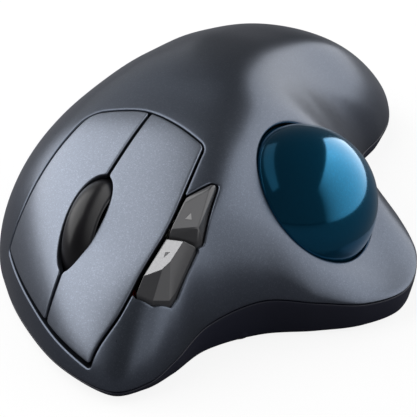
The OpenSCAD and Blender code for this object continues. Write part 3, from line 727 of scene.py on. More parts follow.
def rim_at(angle):
    radius = around(angle, RIM_RADIUS)
    return np.column_stack([radius * np.cos(np.radians(angle)),
                            radius * np.sin(np.radians(angle))])


def even_rim_angles():
    """Angles whose rim points are evenly spaced along the rim."""
    angle = np.arange(RIM_COUNT) * 360 / RIM_COUNT
    points = rim_at(angle)
    lengths = np.linalg.norm(np.roll(points, -1, 0) - points, axis=1)
    travelled = np.concatenate([[0], np.cumsum(lengths)])
    return np.interp(np.linspace(0, travelled[-1], RIM_COUNT, endpoint=False), travelled,
                     np.append(angle, 360))


RIM_SAMPLES = even_rim_angles()
RIM = rim_at(RIM_SAMPLES)


def staggered(xs, ys, pitch):
    """Grid points with every second row moved by half the pitch."""
    x, y = np.meshgrid(xs, ys, indexing="ij")
    x = x + (np.arange(len(ys)) % 2)[None, :] * pitch / 2
    return np.column_stack([x.ravel(), y.ravel()])


def lattice(pitch, start, end):
    """Triangular lattice between two fractions of the rim's radius."""
    flat = staggered(np.arange(-50, 58, pitch), np.arange(-75, 86, pitch * .866), pitch)
    distance, angle = polar(flat)
    fraction = distance / around(angle, RIM_RADIUS)
    return flat[(fraction >= start) & (fraction < end)]


LATTICE = np.vstack([lattice(.45 * FINENESS, 0, .55), lattice(.62 * FINENESS, .55, 1.0)])


# =====================================================================
# Thin pieces cut from the shell
# =====================================================================
EDGE_ROWS = 5           # steps round a rounded edge


def radial_row(loop, points, distance):
    """The rim loop moved straight towards the centre by a distance on the shell."""
    low, high = np.zeros(len(loop)), np.full(len(loop), .2)
    for _ in range(22):
        middle = (low + high) / 2
        moved = surface(loop * (1 - middle)[:, None])
        far = np.linalg.norm(moved - points, axis=1) > distance
        low, high = np.where(far, low, middle), np.where(far, middle, high)
    return loop * (1 - low)[:, None]


def rounded_edge(loop, radius, radial):
    """Rows of (pattern points, depth below the shell) inwards from a loop that runs
    anticlockwise round the material; also the inward directions."""
    points, normals = points_normals(loop)
    tangents = np.roll(points, -1, 0) - np.roll(points, 1, 0)
    tangents /= np.linalg.norm(tangents, axis=1)[:, None]
    inward = np.cross(normals, tangents)
    inward /= np.linalg.norm(inward, axis=1)[:, None]
    rows = []
    for k in range(EDGE_ROWS + 1):
        turn = math.pi / 2 * k / EDGE_ROWS
        distance = radius * (1 - math.cos(turn))
        row = loop
        if k and radial:
            row = radial_row(loop, points, distance)
        elif k:
            for _ in range(2):
                row = step_on(row, inward * distance * .5)
        rows.append((row, radius * (1 - math.sin(turn))))
    return rows, inward


def fill_points(loops, inwards):
    """Lattice points clear of the loops, with one guard row beside each loop."""
    edge = np.vstack([surface(loop) for loop in loops])
    tree = kdtree.KDTree(len(edge))
    for i, point in enumerate(edge):
        tree.insert(point, i)
    tree.balance()

    def clear(flat, gap):
        return flat[np.array([tree.find(point)[2] > gap for point in surface(flat)])]

    points = clear(LATTICE[even_odd(LATTICE, loops)], gap=.55)
    for loop, inward in zip(loops, inwards):
        guard = step_on(loop, inward * .42)
        kept = clear(guard, gap=.33)
        points = np.vstack([points, kept[::2] if len(guard) > 60 else kept])
    return points


def shell_piece(name, loops, wall, material, edge_depth=None):
    """Piece with rounded edges from (pattern loop, edge radius) pairs. The largest loop bounds
    it and the others are openings; edge_depth gives the depth of the wall at a loop."""
    areas = [abs(loop_area(loop)) for loop, _ in loops]
    largest = areas.index(max(areas))
    edges = []
    for i, (loop, radius) in enumerate(loops):
        if (loop_area(loop) > 0) != (i == largest):
            loop = loop[::-1].copy()
        # the rim is the loop with this count
        rows, inward = rounded_edge(loop, radius, radial=len(loop) == RIM_COUNT)
        edges.append((loop, radius, rows, inward))
    inner = [rows[-1][0] for _, _, rows, _ in edges]
    flat, triangles, numbers = triangulate(inner, fill_points(inner, [e[3] for e in edges]))
    used = np.unique(triangles)
    renumber = -np.ones(len(flat), int)
    renumber[used] = np.arange(len(used))
    triangles = renumber[triangles]
    inner_rings = [renumber[ring].tolist() for ring in numbers]

    outside, outside_normals = points_normals(flat[used])
    piece = Builder()
    piece.add(outside)
    piece.fill(triangles)
    ends = []
    for (loop, radius, rows, _), ring in zip(edges, inner_rings):
        for row, depth in rows[-2::-1]:
            points, normals = points_normals(row)
            ring = piece.ring(ring, points - normals * depth)
        # the last row is the loop itself; the wall goes down from it
        end = edge_depth(loop) if edge_depth else wall
        for depth in (radius + (end - radius) * .5, end):
            ring = piece.ring(ring, points - normals * depth)
        ends.append(ring)
    start = piece.add(outside - outside_normals * wall)[0]
    piece.fill(triangles, start, flip=True)
    for ring, inner_ring in zip(ends, inner_rings):
        piece.bridge(ring, [i + start for i in inner_ring])
    return piece.build(name, material, sharp=40)


# =====================================================================
# Materials: all made of nodes
# =====================================================================
def srgb(red, green, blue):
    def linear(v):
        return v / 12.92 if v <= .04045 else ((v + .055) / 1.055) ** 2.4
    return tuple(linear(v / 255) for v in (red, green, blue)) + (1,)


class Nodes:
    """A material with a Principled shader, and short ways to add nodes to it."""

    INPUTS = {"color": "Base Color", "metal": "Metallic", "rough": "Roughness",
              "coat": "Coat Weight", "coat_rough": "Coat Roughness", "coat_ior": "Coat IOR",
              "ior": "IOR", "spec": "Specular IOR Level", "trans": "Transmission Weight"}

    def __init__(self, name, **values):
        self.mat = bpy.data.materials.new(name)
        self.mat.use_nodes = True
        self.tree = self.mat.node_tree
        self.tree.nodes.clear()
        self.out = self.new("ShaderNodeOutputMaterial")
        self.bsdf = self.new("ShaderNodeBsdfPrincipled")
        self.link(self.bsdf.outputs[0], self.out.inputs[0])
        self.coords = self.new("ShaderNodeTexCoord").outputs["Object"]
        for key, value in values.items():
            self.bsdf.inputs[self.INPUTS[key]].default_value = value

    def new(self, kind, **settings):
        node = self.tree.nodes.new(kind)
        for key, value in settings.items():
            setattr(node, key, value)
        return node

    def link(self, source, target):
        self.tree.links.new(source, target)

    def drive(self, key, source):
        """Links a source to an input of the Principled shader."""
        self.link(source, self.bsdf.inputs[self.INPUTS[key]])

    def feed(self, socket, value):
        """Sets a number or colour, or links a source."""
        if isinstance(value, (int, float, tuple)):
            socket.default_value = value
        else:
            self.link(value, socket)

    def noise(self, scale, detail, rough=.5, coords=None):
        node = self.new("ShaderNodeTexNoise")
        node.inputs["Scale"].default_value = scale
        node.inputs["Detail"].default_value = detail
        node.inputs["Roughness"].default_value = rough
        self.link(coords or self.coords, node.inputs["Vector"])
        return node.outputs["Fac"]

    def voronoi(self, scale, output="Color"):
        node = self.new("ShaderNodeTexVoronoi", feature="F1")
        node.inputs["Scale"].default_value = scale
        self.link(self.coords, node.inputs["Vector"])
        return node.outputs[output]

    def cell_colors(self, scale):
        """Separate random channels, one value per small cell."""
        node = self.new("ShaderNodeSeparateColor")
        self.link(self.voronoi(scale), node.inputs[0])
        return node.outputs

    def mapped(self, setting, value):
        node = self.new("ShaderNodeMapping")
        node.inputs[setting].default_value = value
        self.link(self.coords, node.inputs[0])
        return node.outputs[0]

    def ramp(self, source, stops):
        """Stops are (position, grey or colour)."""
        node = self.new("ShaderNodeValToRGB")
        elements = node.color_ramp.elements
        while len(elements) < len(stops):
            elements.new(.5)
        for element, (position, color) in zip(elements, stops):
            element.position = position
            element.color = color if hasattr(color, "__len__") else (color, color, color, 1)
        self.link(source, node.inputs[0])
        return node.outputs[0]

    def math(self, operation, a, b):
        node = self.new("ShaderNodeMath", operation=operation)
        self.feed(node.inputs[0], a)
        self.feed(node.inputs[1], b)
        return node.outputs[0]

    def mix(self, factor, a, b, blend="MIX"):
        node = self.new("ShaderNodeMix", data_type="RGBA", blend_type=blend)
        self.feed(node.inputs["Factor"], factor)
        self.feed(node.inputs[6], a)
        self.feed(node.inputs[7], b)
        return node.outputs[2]

    def bump(self, height, strength, distance=None):
        """Bump on the shader's normal; distance in metres."""
        node = self.new("ShaderNodeBump")
        node.inputs["Strength"].default_value = strength
        if distance is not None:
            node.inputs["Distance"].default_value = distance
        self.link(height, node.inputs["Height"])
        self.link(node.outputs[0], self.bsdf.inputs["Normal"])

    def rough_between(self, source, low, high):
        node = self.new("ShaderNodeMapRange")
        node.inputs["To Min"].default_value = low
        node.inputs["To Max"].default_value = high
        self.link(source, node.inputs[0])
        self.drive("rough", node.outputs[0])

    def drift(self, base, amount, scale, detail=4):
        """Base colour with a slow lighter and darker drift."""
        dark = tuple(max(0, c * (1 - amount)) for c in base[:3]) + (1,)
        light = tuple(min(1, c * (1 + amount)) for c in base[:3]) + (1,)
        return self.ramp(self.noise(scale, detail), [(.3, dark), (.7, light)])


def paint(name, base, rough, flake=.1):
    """Satin pearl paint: fine flakes, a faint orange peel and slow colour drift."""
    m = Nodes(name, metal=.92, rough=rough, coat=.0, coat_rough=.28)
    slow = m.drift(base, amount=.035, scale=38, detail=3)
    cells = m.cell_colors(scale=5200)
    flakes = m.ramp(cells[0], [(0, 1 - flake), (.82, 1), (1, 1 + flake * 2.2)])
    m.drive("color", m.mix(1.0, slow, flakes, blend="MULTIPLY"))
    grain = m.noise(scale=2600, detail=2)
    m.rough_between(grain, low=rough - .05, high=rough + .05)
    m.bump(m.math("ADD", m.math("MULTIPLY", grain, .6), cells[1]), strength=.10, distance=.00003)
    return m.mat


def plastic(name, base, rough=.45, drift=.08, grain=1500, bump=.12, spec=.5, coat=0.0,
            metal=0.0):
    """Moulded plastic with a fine spark-eroded texture."""
    m = Nodes(name, rough=rough, spec=spec, coat=coat, coat_rough=.1, metal=metal)
    m.drive("color", m.drift(base, amount=drift, scale=60))
    texture = m.noise(scale=grain, detail=4, rough=.6)
    m.rough_between(texture, low=max(.02, rough - .06), high=min(1, rough + .06))
    m.bump(texture, strength=bump, distance=.00008)
    return m.mat


def metal(name, base, rough, brushed=(1, 1, 1)):
    """Metal with a grain stretched by the brushed scale along x, y, z."""
    m = Nodes(name, metal=1.0, rough=rough)
    m.drive("color", m.drift(base, amount=.1, scale=120))
    grain = m.noise(scale=900, detail=4, rough=.6, coords=m.mapped("Scale", brushed))
    m.rough_between(grain, low=rough * .7, high=rough * 1.4)
    m.bump(grain, strength=.05, distance=.00005)
    return m.mat


def clear(name, tint, rough, trans, ior):
    """Clear tinted material with a faint unevenness."""
    m = Nodes(name, color=tint, rough=rough, trans=trans, ior=ior)
    cloud = m.noise(scale=700, detail=2)
    m.drive("color", m.ramp(cloud, [(0, tuple(c * .8 for c in tint[:3]) + (1,)), (1, tint)]))
    m.bump(cloud, strength=.02)
    return m.mat


def board(name):
    """Green solder mask over copper traces, with plated rings."""
    m = Nodes(name, rough=.32, coat=.4, coat_rough=.15)
    green, copper, plate = (.012, .075, .035, 1), (.02, .14, .06, 1), (.72, .55, .22, 1)
    black, white = (0, 0, 0, 1), (1, 1, 1, 1)
    bricks = m.new("ShaderNodeTexBrick")
    for key, value in (("Scale", 380), ("Mortar Size", .07), ("Color1", black),
                       ("Color2", black), ("Mortar", white)):
        bricks.inputs[key].default_value = value
    m.link(m.mapped("Rotation", (0, 0, math.radians(45))), bricks.inputs["Vector"])
    traces = bricks.outputs["Color"]
    mask = m.mix(traces, green, copper)
    ring = m.ramp(m.voronoi(scale=420, output="Distance"),
                  [(0, 0), (.10, 0), (.12, 1), (.17, 1), (.19, 0), (1, 0)])
    m.drive("color", m.mix(ring, mask, plate))
    m.drive("metal", m.math("MULTIPLY", ring, .9))
    m.bump(m.math("ADD", traces, ring), strength=.25, distance=.00006)
    return m.mat


def ball_pearl(name):
    """Deep blue pearl under clear lacquer, with fine specks."""
    m = Nodes(name, metal=.80, rough=.12, coat=.12, coat_rough=.02, coat_ior=1.4)
    weight = m.new("ShaderNodeLayerWeight")
    weight.inputs["Blend"].default_value = .45
    facing = m.ramp(weight.outputs["Facing"],
                    [(0, (.002, .092, .18, 1)), (.55, (.002, .09, .175, 1)),
                     (1, (.006, .13, .24, 1))])
    specks = m.ramp(m.cell_colors(scale=4200)[0], [(0, .95), (.8, 1.0), (1, 1.12)])
    m.drive("color", m.mix(1.0, facing, specks, blend="MULTIPLY"))
    return m.mat


def cell_wrap(name):
    """Foil sleeve: a copper band towards the -Y end, a dark body and bare metal at both ends."""
    low, high = node_box("battery")
    bare, band, body = (.7, .7, .7, 1), (.62, .30, .10, 1), (.02, .02, .022, 1)
    m = Nodes(name, rough=.3, coat=.5, coat_rough=.08, metal=.6)
    axes = m.new("ShaderNodeSeparateXYZ")
    m.link(m.coords, axes.inputs[0])
    along = m.new("ShaderNodeMapRange")
    along.inputs["From Min"].default_value = low[1] * MM
    along.inputs["From Max"].default_value = high[1] * MM
    m.link(axes.outputs["Y"], along.inputs[0])
    print_color = m.ramp(along.outputs[0], [(0, bare), (.035, bare), (.04, band), (.27, band),
                                            (.275, body), (.97, body), (.985, bare)])
    wear = m.ramp(m.noise(scale=900, detail=3), [(.3, .9), (.7, 1.0)])
    m.drive("color", m.mix(1.0, print_color, wear, blend="MULTIPLY"))
    m.bump(m.noise(scale=260, detail=2), strength=.05, distance=.0001)
    return m.mat


MAT = {
    "shell": paint("shell_paint", srgb(90, 96, 107), rough=.30),
    # The finger buttons use the shell's paint with a lighter base colour: painted light for the
    # light they catch.
    "button": paint("button_paint", srgb(116, 122, 133), rough=.33),
    "lower": plastic("lower_plastic", srgb(26, 28, 42), rough=.42, grain=2200, bump=.1,
                     spec=.35),
    "small": plastic("small_button_plastic", srgb(70, 70, 72), rough=.22, drift=.05,
                     grain=3000, bump=.04, metal=.35, coat=.3),
    # Both arrows are one print; the darker grey of the front one is painted shade.
    "arrow": plastic("arrow_print", srgb(150, 150, 150), rough=.35, grain=3000, bump=.05),
    "arrow_shaded": plastic("arrow_print_shaded", srgb(96, 96, 98), rough=.35, grain=3000,
                          bump=.05),
    "rubber": plastic("wheel_rubber", srgb(17, 16, 19), rough=.34, drift=.12, grain=1400,
                      bump=.1, spec=.4),
    "ball": ball_pearl("ball_pearl"),
    "inner": plastic("inner_plastic", (.012, .012, .014, 1), rough=.5),
    "cup": plastic("cup_plastic", (.006, .006, .007, 1), rough=.55),
    "steel": metal("bright_steel", (.72, .73, .75, 1), rough=.22, brushed=(1, 1, 14)),
    "spring": metal("spring_steel", (.62, .62, .64, 1), rough=.25),
    "part_green": plastic("part_green", (.02, .10, .05, 1), rough=.4),
    "ruby": clear("ruby", (.45, .015, .03, 1), rough=.06, trans=.4, ior=1.76),
    "board": board("board_green"),
    "chip": plastic("chip_black", (.015, .015, .016, 1), rough=.5, grain=2500, bump=.2),
    "can": metal("can_aluminium", (.55, .57, .62, 1), rough=.3, brushed=(1, 1, 8)),
    "switch": plastic("switch_black", (.012, .012, .013, 1), rough=.38),
    "red": plastic("plunger_red", (.5, .03, .025, 1), rough=.35),
    "amber": plastic("plunger_amber", (.55, .30, .05, 1), rough=.35),
    "lens": clear("clear_lens", (.85, .92, .95, 1), rough=.05, trans=.9, ior=1.5),
    "ribbon": plastic("ribbon_film", (.62, .60, .52, 1), rough=.3, grain=500),
    "receiver": plastic("receiver_black", (.012, .012, .014, 1), rough=.3),
    "plug": metal("plug_steel", (.66, .67, .70, 1), rough=.3, brushed=(1, 10, 1)),
    "slider": plastic("slider_grey", (.03, .03, .034, 1), rough=.4),
    "ptfe": plastic("feet_ptfe", (.035, .036, .04, 1), rough=.55, grain=900, bump=.2),
    "screw": metal("dark_screw", (.16, .16, .18, 1), rough=.35),
    "cell": cell_wrap("cell_label"),
}

# CAD pieces and their materials; any other piece takes the shell paint
NODE_MATERIAL = {
    "wheel_hub": "inner", "wheel_axle": "steel", "wheel_carrier": "inner",
    "wheel_bracket": "inner", "wheel_spring": "spring", "wheel_encoder": "part_green",
    "ball_cup": "cup", "bearing_balls": "ruby", "main_board": "board", "radio_chip": "chip",
    "capacitor": "can", "left_switch": "switch", "left_plunger": "red",
    "right_switch": "switch", "right_plunger": "red", "middle_switch": "switch",
    "middle_plunger": "amber", "side_board": "board", "forward_switch": "switch",
    "forward_plunger": "amber", "back_switch": "switch", "back_plunger": "amber",
    "sensor_board": "board", "optical_sensor": "chip", "sensor_lens": "lens",
    "ribbon_cable": "ribbon", "battery": "cell", "battery_contact": "spring",
    "battery_spring": "spring", "battery_door": "lower", "receiver_cap": "receiver",
    "receiver_plug": "plug", "power_slider": "slider", "power_switch": "can",
    "feet": "ptfe", "case_screws": "screw", "board_screws": "steel"}


def dress_frame():
    for node, ob in frame["nodes"].items():
        material = MAT[NODE_MATERIAL.get(node, "shell")]
        if not ob.material_slots:
            ob.data.materials.append(material)
        for slot in ob.material_slots:
            slot.material = material


dress_frame()


# =====================================================================
# Upper shell and finger buttons
# =====================================================================
def cover_depth(loop):
    """Thinner wall beside the ball, so the edge can come close to it."""
    return .72 if np.abs(ball_opening(surface(loop))).max() < .3 else WALL


def upper_shell():
    loops = [(RIM, .3)]
    for region, spacing, radius in ((front_opening, LOOP_SPACING, .38), (ball_opening, .5, .62)):
        loops += [(resample(loop, region, spacing), radius) for loop in contours(region)]
    ob = shell_piece("upper_shell", loops, WALL, MAT["shell"], cover_depth)
    register(ob, "case", "top_cover")


def finger_piece(name, side, node, body):
    region = finger_button(side)
    loops = [(resample(loop, region, LOOP_SPACING), .36) for loop in contours(region)]
    # the buttons take the lighter copy of the shell paint, which is painted light
    ob = shell_piece(name, loops, BUTTON_WALL, MAT["button"])
    register(ob, body, node)


upper_shell()
finger_piece("index_finger_button", -1, "left_button", "index_press")
finger_piece("middle_finger_button", 1, "right_button", "middle_press")

# =====================================================================
# Lower shell
# =====================================================================
FLOOR_LOW, FLOOR_HIGH = .8, 2.8         # underside and inside of the floor
FOOT_Z, FOOT_R = 1.9, 1.1               # where the side wall rounds into the floor
FOOT_INSET = .85
PART_GAP = .25                          # below the rim of the upper shell
EDGE_INSET, EDGE_ROUND = .05, .28       # rounded upper edge of the side wall

DOOR = [[-32, 5], [-1, 5], [-1, 61], [-13, 61], [-32, 34]]
SCREWS = [[16.5, -39], [40, -17], [12.3, 45.5], [-36.5, 22], [-39, -1]]

# Turned parts of the floor: places x, y, and a closed profile of radius, z
BOSSES = [
    # hollow screw bosses
    (SCREWS, [(1.4, 2.0), (3.4, 2.0), (3.4, 5.3), (3.1, 5.6), (1.7, 5.6), (1.4, 5.3)]),
    # slimmer hollow posts
    ([[-32.5, -28], [-2, -27.6], [-8, -60.4]],
     [(.9, 2.6), (2.2, 2.6), (2.2, 5.8), (2.0, 6.0), (1.1, 6.0), (.9, 5.8)]),
    # stepped pegs below the side buttons
    ([[10.4, -48.3], [5.6, -48.3]],
     [(.3, 2.6), (1.6, 2.6), (1.6, 7.9), (1.5, 8.0), (.95, 8.0), (.95, 9.6), (.75, 9.8),
      (.3, 9.8)])]

# Ribs on the floor: low corner, high corner
RIBS = [
    ((-18, 2, 2.6), (-1, 3.6, 17)), ((-18, 59.2, 2.6), (-1, 60.8, 15)),
    ((-.95, 3.5, 2.6), (-.5, 59.5, 7)), ((-18, 3.5, 4.6), (-16.8, 59.5, 8)),
    ((-4.6, -20, 2.6), (-.6, -7, 4.2)), ((-33.4, 10.6, 2.6), (-32.2, 31.2, 8)),
    ((-33.4, 10.6, 4.6), (-17.4, 11.6, 8)), ((-33.4, 30.2, 4.6), (-17.4, 31.2, 8))]

rim_points, rim_normals = points_normals(RIM)
rim_outward = rim_normals[:, :2] / np.linalg.norm(rim_normals[:, :2], axis=1)[:, None]


def rim_inset(inset, z):
    """Rim moved inwards in plan, at height z (array or number)."""
    return np.column_stack([rim_points[:, :2] - inset * rim_outward,
                            np.broadcast_to(z, len(rim_points))])


def quarter(steps):
    """1 - cos and 1 - sin of the steps of a quarter turn, without its start."""
    turns = [math.pi / 2 * k / steps for k in range(1, steps + 1)]
    return [(1 - math.cos(turn), 1 - math.sin(turn)) for turn in turns]


def round_poly(corners, radius, steps=6):
    """Polygon with rounded corners, anticlockwise."""
    corners = np.array(corners, float)
    out = []
    for i in range(len(corners)):
        before, corner, after = corners[i - 1], corners[i], corners[(i + 1) % len(corners)]
        back = (before - corner) / np.linalg.norm(before - corner)
        ahead = (after - corner) / np.linalg.norm(after - corner)
        half = math.acos(np.clip(back @ ahead, -1, 1)) / 2
        reach = radius / math.tan(half)
        middle = back + ahead
        centre = corner + middle / np.linalg.norm(middle) * (radius / math.sin(half))
        start = math.atan2(*(corner + back * reach - centre)[::-1])
        end = math.atan2(*(corner + ahead * reach - centre)[::-1])
        sweep = (end - start + math.pi) % (2 * math.pi) - math.pi
        for k in range(steps + 1):
            angle = start + sweep * k / steps
            out.append(centre + radius * np.array([math.cos(angle), math.sin(angle)]))
    loop = np.array(out)
    return loop if loop_area(loop) > 0 else loop[::-1]


def circle(centre, radius, count):
    angle = np.arange(count) * 2 * math.pi / count
    return np.column_stack([centre[0] + radius * np.cos(angle),
                            centre[1] + radius * np.sin(angle)])


def grow(loop, distance):
    """Anticlockwise loop moved outwards."""
    tangent = np.roll(loop, -1, 0) - np.roll(loop, 1, 0)
    tangent /= np.linalg.norm(tangent, axis=1)[:, None]
    return loop + distance * np.column_stack([tangent[:, 1], -tangent[:, 0]])


def floor_holes():
    """Openings of the floor, each with the size of its lead-in."""
    x, y, _ = node_centre("power_slider")
    slot = [[x - 3.2, y - 2], [x + 5.3, y - 2], [x + 5.3, y + 2], [x - 3.2, y + 2]]
    return [(round_poly(DOOR, 2.0), .3), (circle(BALL[:2], 8, 64), .4),
            (round_poly(slot, .5), .25)] + [(circle(p, 2.4, 36), .25) for p in SCREWS]


def side_rows():
    """Rows of the outside wall, from the parting line down to the edge of the floor."""
    part = around(RIM_SAMPLES, RIM_HEIGHT) - PART_GAP
    rows = [rim_inset(WALL, part), rim_inset(EDGE_INSET + EDGE_ROUND, part)]
    for fall, inset in quarter(4):
        rows.append(rim_inset(EDGE_INSET + EDGE_ROUND * inset, part - EDGE_ROUND * fall))
    for k in range(1, 7):
        t = k / 6
        z = part - EDGE_ROUND + (FOOT_Z - part + EDGE_ROUND) * t
        rows.append(rim_inset(EDGE_INSET + .8 * t ** 1.5, z))
    for inset, left in quarter(5):
        rows.append(rim_inset(FOOT_INSET + FOOT_R * inset, FOOT_Z - FOOT_R * (1 - left)))
    return rows


def floor_points(loops):
    """Staggered points between the loops, clear of them."""
    points = staggered(np.arange(-50, 52, 2.6), np.arange(-76, 76, 2.25), 2.6)
    edge = np.vstack(loops)
    return [p for p in points[even_odd(points, loops)] if np.hypot(*(edge - p).T).min() > 1.1]


def bottom_shell(name, material):
    rows = side_rows()
    holes = floor_holes()
    loops = [rows[-1][:, :2]] + [grow(hole, lead) for hole, lead in holes]
    flat, triangles, rings = triangulate(loops, floor_points(loops))
    piece = Builder()
    piece.add(np.column_stack([flat, np.full(len(flat), FLOOR_LOW)]))
    piece.fill(triangles, flip=True)

    # side wall up to the parting line, then down the inside
    ring = rings[0]
    for row in rows[-2::-1]:
        ring = piece.ring(ring, row, flip=True)
    part = rows[0][:, 2]
    for t in (.5, 1):
        ring = piece.ring(ring, rim_inset(WALL, part - (part - 3.6) * t), flip=True)

    # the inside of the floor shares the triangles; its outer loop sits further in
    inside = flat.copy()
    inside[rings[0]] = rim_inset(WALL + .8, FLOOR_HIGH)[:, :2]
    start = piece.add(np.column_stack([inside, np.full(len(flat), FLOOR_HIGH)]))[0]
    piece.fill(triangles, start)
    piece.bridge(ring, [i + start for i in rings[0]], flip=True)

    # hole walls with a small lead-in at the outside
    for (hole, lead), edge in zip(holes, rings[1:]):
        ring = edge
        for rise, out in quarter(3):
            z = np.full(len(hole), FLOOR_LOW + lead * rise)
            ring = piece.ring(ring, np.column_stack([grow(hole, lead * out), z]))
        ring = piece.ring(ring, np.column_stack([hole, np.full(len(hole), 2.75)]))
        piece.bridge(ring, [i + start for i in edge])
    return piece.build(name, material, sharp=35)


def add_block(bm, low, high, bevel=.25):
    """Bevelled box between two corners."""
    made = bmesh.ops.create_cube(bm, size=1.0)["verts"]
    low, high = Vector(low) * MM, Vector(high) * MM
    for v in made:
        v.co = Vector([low[i] + (v.co[i] + .5) * (high[i] - low[i]) for i in range(3)])
    edges = list({e for v in made for e in v.link_edges})
    bmesh.ops.bevel(bm, geom=edges, offset=bevel * MM, segments=2, affect="EDGES", profile=.6)


def add_lathe(bm, centre, profile, count):
    """Closed profile of (radius, z) turned about a vertical axis."""
    rows = []
    for radius, z in profile:
        angles = [2 * math.pi * k / count for k in range(count)]
        rows.append([bm.verts.new(Vector((centre[0] + radius * math.cos(angle),
                                          centre[1] + radius * math.sin(angle), z)) * MM)
                     for angle in angles])
    for a, b in zip(rows, rows[1:] + rows[:1]):
        for k in range(count):
            j = (k + 1) % count
            bm.faces.new((a[k], a[j], b[j], b[k]))


def lower_shell():
    ob = bottom_shell("lower_shell", MAT["lower"])
    bm = bmesh.new()
    bm.from_mesh(ob.data)
    for places, profile in BOSSES:
        for centre in places:
            add_lathe(bm, centre, profile, 40)
    for low, high in RIBS:
        add_block(bm, low, high)
    bmesh.ops.recalc_face_normals(bm, faces=bm.faces)
    bm.to_mesh(ob.data)
    bm.free()
    ob.data.set_sharp_from_angle(angle=math.radians(35))
    register(ob, "case", "bottom_case")


def screw_profile(tip):
    """Head with a round recess, threaded shank and pointed tip, as (radius, z)."""
    axis, core, crest = .02, .86, 1.08
    profile = [(axis, 1.95), (.75, 1.95), (.95, 1.22), (1.95, 1.22), (2.18, 1.45),
               (2.18, 2.75), (2.0, 2.93), (core, 2.93)]
    z = 3.3
    while z < tip - 1.0:
        profile += [(core, z), (crest, z + .18), (core, z + .36)]
        z += .62
    return profile + [(core, tip - .6), (.35, tip), (axis, tip)]


def case_screws():
    """Each screw ends below the shell above it."""
    bm = bmesh.new()
    for centre in SCREWS:
        tip = min(11.9, float(skin_height(*centre)) - 3.0)
        add_lathe(bm, centre, screw_profile(tip), 28)
    bmesh.ops.recalc_face_normals(bm, faces=bm.faces)
    ob = from_bmesh("case_screw_set", bm, MAT["screw"], sharp=40)
    register(ob, "case", "case_screws")


lower_shell()
case_screws()


# =====================================================================
# Faceted side buttons
# =====================================================================
def flat_top(face):
    """Corners of a top face, brought into one plane."""
    corners = np.array([[x, y, skin_height(x, y) + rise] for x, y, rise in face])
    terms = np.column_stack([corners[:, :2], np.ones(len(corners))])
    corners[:, 2] = terms @ np.linalg.lstsq(terms, corners[:, 2], rcond=None)[0]
    return corners


def faceted(name, plan, face, body, node):
    """Hull of a plan outline, from under the skin to just over it, and a flat top face."""
    bm = bmesh.new()
    corners = [Vector((x, y, skin_height(x, y) + dz)) for dz in (-3.0, .28) for x, y in plan]
    corners += [Vector(p) for p in flat_top(face)]
    hull = bmesh.ops.convex_hull(bm, input=[bm.verts.new(p * MM) for p in corners])
    spare = [g for g in hull["geom_interior"] + hull["geom_unused"]
             if isinstance(g, bmesh.types.BMVert)]
    if spare:
        bmesh.ops.delete(bm, geom=list(set(spare)), context="VERTS")
    bmesh.ops.dissolve_limit(bm, angle_limit=math.radians(2.5), verts=bm.verts, edges=bm.edges)
    edges = [e for e in bm.edges
             if len(e.link_faces) == 2 and e.calc_face_angle(0) > math.radians(7)]
    bmesh.ops.bevel(bm, geom=edges, offset=.26 * MM, segments=4, affect="EDGES", profile=.5,
                    clamp_overlap=True)
    bmesh.ops.triangulate(bm, faces=[f for f in bm.faces if len(f.verts) > 4])
    bmesh.ops.recalc_face_normals(bm, faces=bm.faces)
    ob = from_bmesh(name, bm, MAT["small"], sharp=30)
    ob.modifiers.new("weighted", "WEIGHTED_NORMAL").keep_sharp = True
    register(ob, body, node)
    return ob


def cast_down(ob, x, y):
    """Top point and normal of a piece above x, y."""
    _, point, normal, _ = ob.ray_cast(Vector((x * MM, y * MM, 1)), Vector((0, 0, -1)))
    return np.array(point) / MM, np.array(normal)


def arrow_on(name, ob, corners, material, body):
    """Small raised triangle on a side button."""
    bpy.context.view_layer.update()
    _, normal = cast_down(ob, *np.mean(corners, 0))
    bm = bmesh.new()
    low, high = [], []
    for corner in corners:
        point, _ = cast_down(ob, *corner)
        low.append(bm.verts.new(Vector(point - normal * .15) * MM))
        high.append(bm.verts.new(Vector(point + normal * .06) * MM))
    bm.faces.new(high)
    bm.faces.new(low[::-1])
    for i in range(3):
        j = (i + 1) % 3
        bm.faces.new((low[i], low[j], high[j], high[i]))
    bmesh.ops.recalc_face_normals(bm, faces=bm.faces)
    bmesh.ops.bevel(bm, geom=list(bm.edges), offset=.04 * MM, segments=2, affect="EDGES",
                    profile=.5)
    register(from_bmesh(name, bm, material, smooth=False), body)


rear_button = faceted("rear_side_button", BACK_PLAN, BACK_TOP, "back_press", "back_button")
front_button = faceted("front_side_button", FORWARD_PLAN, FORWARD_TOP, "forward_press",
                       "forward_button")
# the front arrow takes the darker copy of the print, which is painted shade
arrow_on("rear_arrow", rear_button, [[7.25, -45.2], [8.5, -44.7], [7.85, -43.6]],
         MAT["arrow"], "back_press")
arrow_on("front_arrow", front_button, [[6.15, -52.5], [7.15, -52.1], [6.3, -53.5]],
         MAT["arrow_shaded"], "forward_press")


# =====================================================================
# Wheel and ball
# =====================================================================
def lathe_x(name, centre, profile, count, material):
    """Closed profile of (x, radius) turned about the X axis through the centre."""
    angle = np.arange(count) * 2 * math.pi / count
    points = [np.column_stack([np.full(count, centre[0] + x),
                               centre[1] + radius * np.cos(angle),
                               centre[2] + radius * np.sin(angle)]) for x, radius in profile]
    faces = []
    for i in range(len(profile)):
        a, b = i * count, (i + 1) % len(profile) * count
        for k in range(count):
            j = (k + 1) % count
            faces.append((a + k, a + j, b + j, b + k))
    return from_lists(name, np.vstack(points), faces, material, sharp=40)


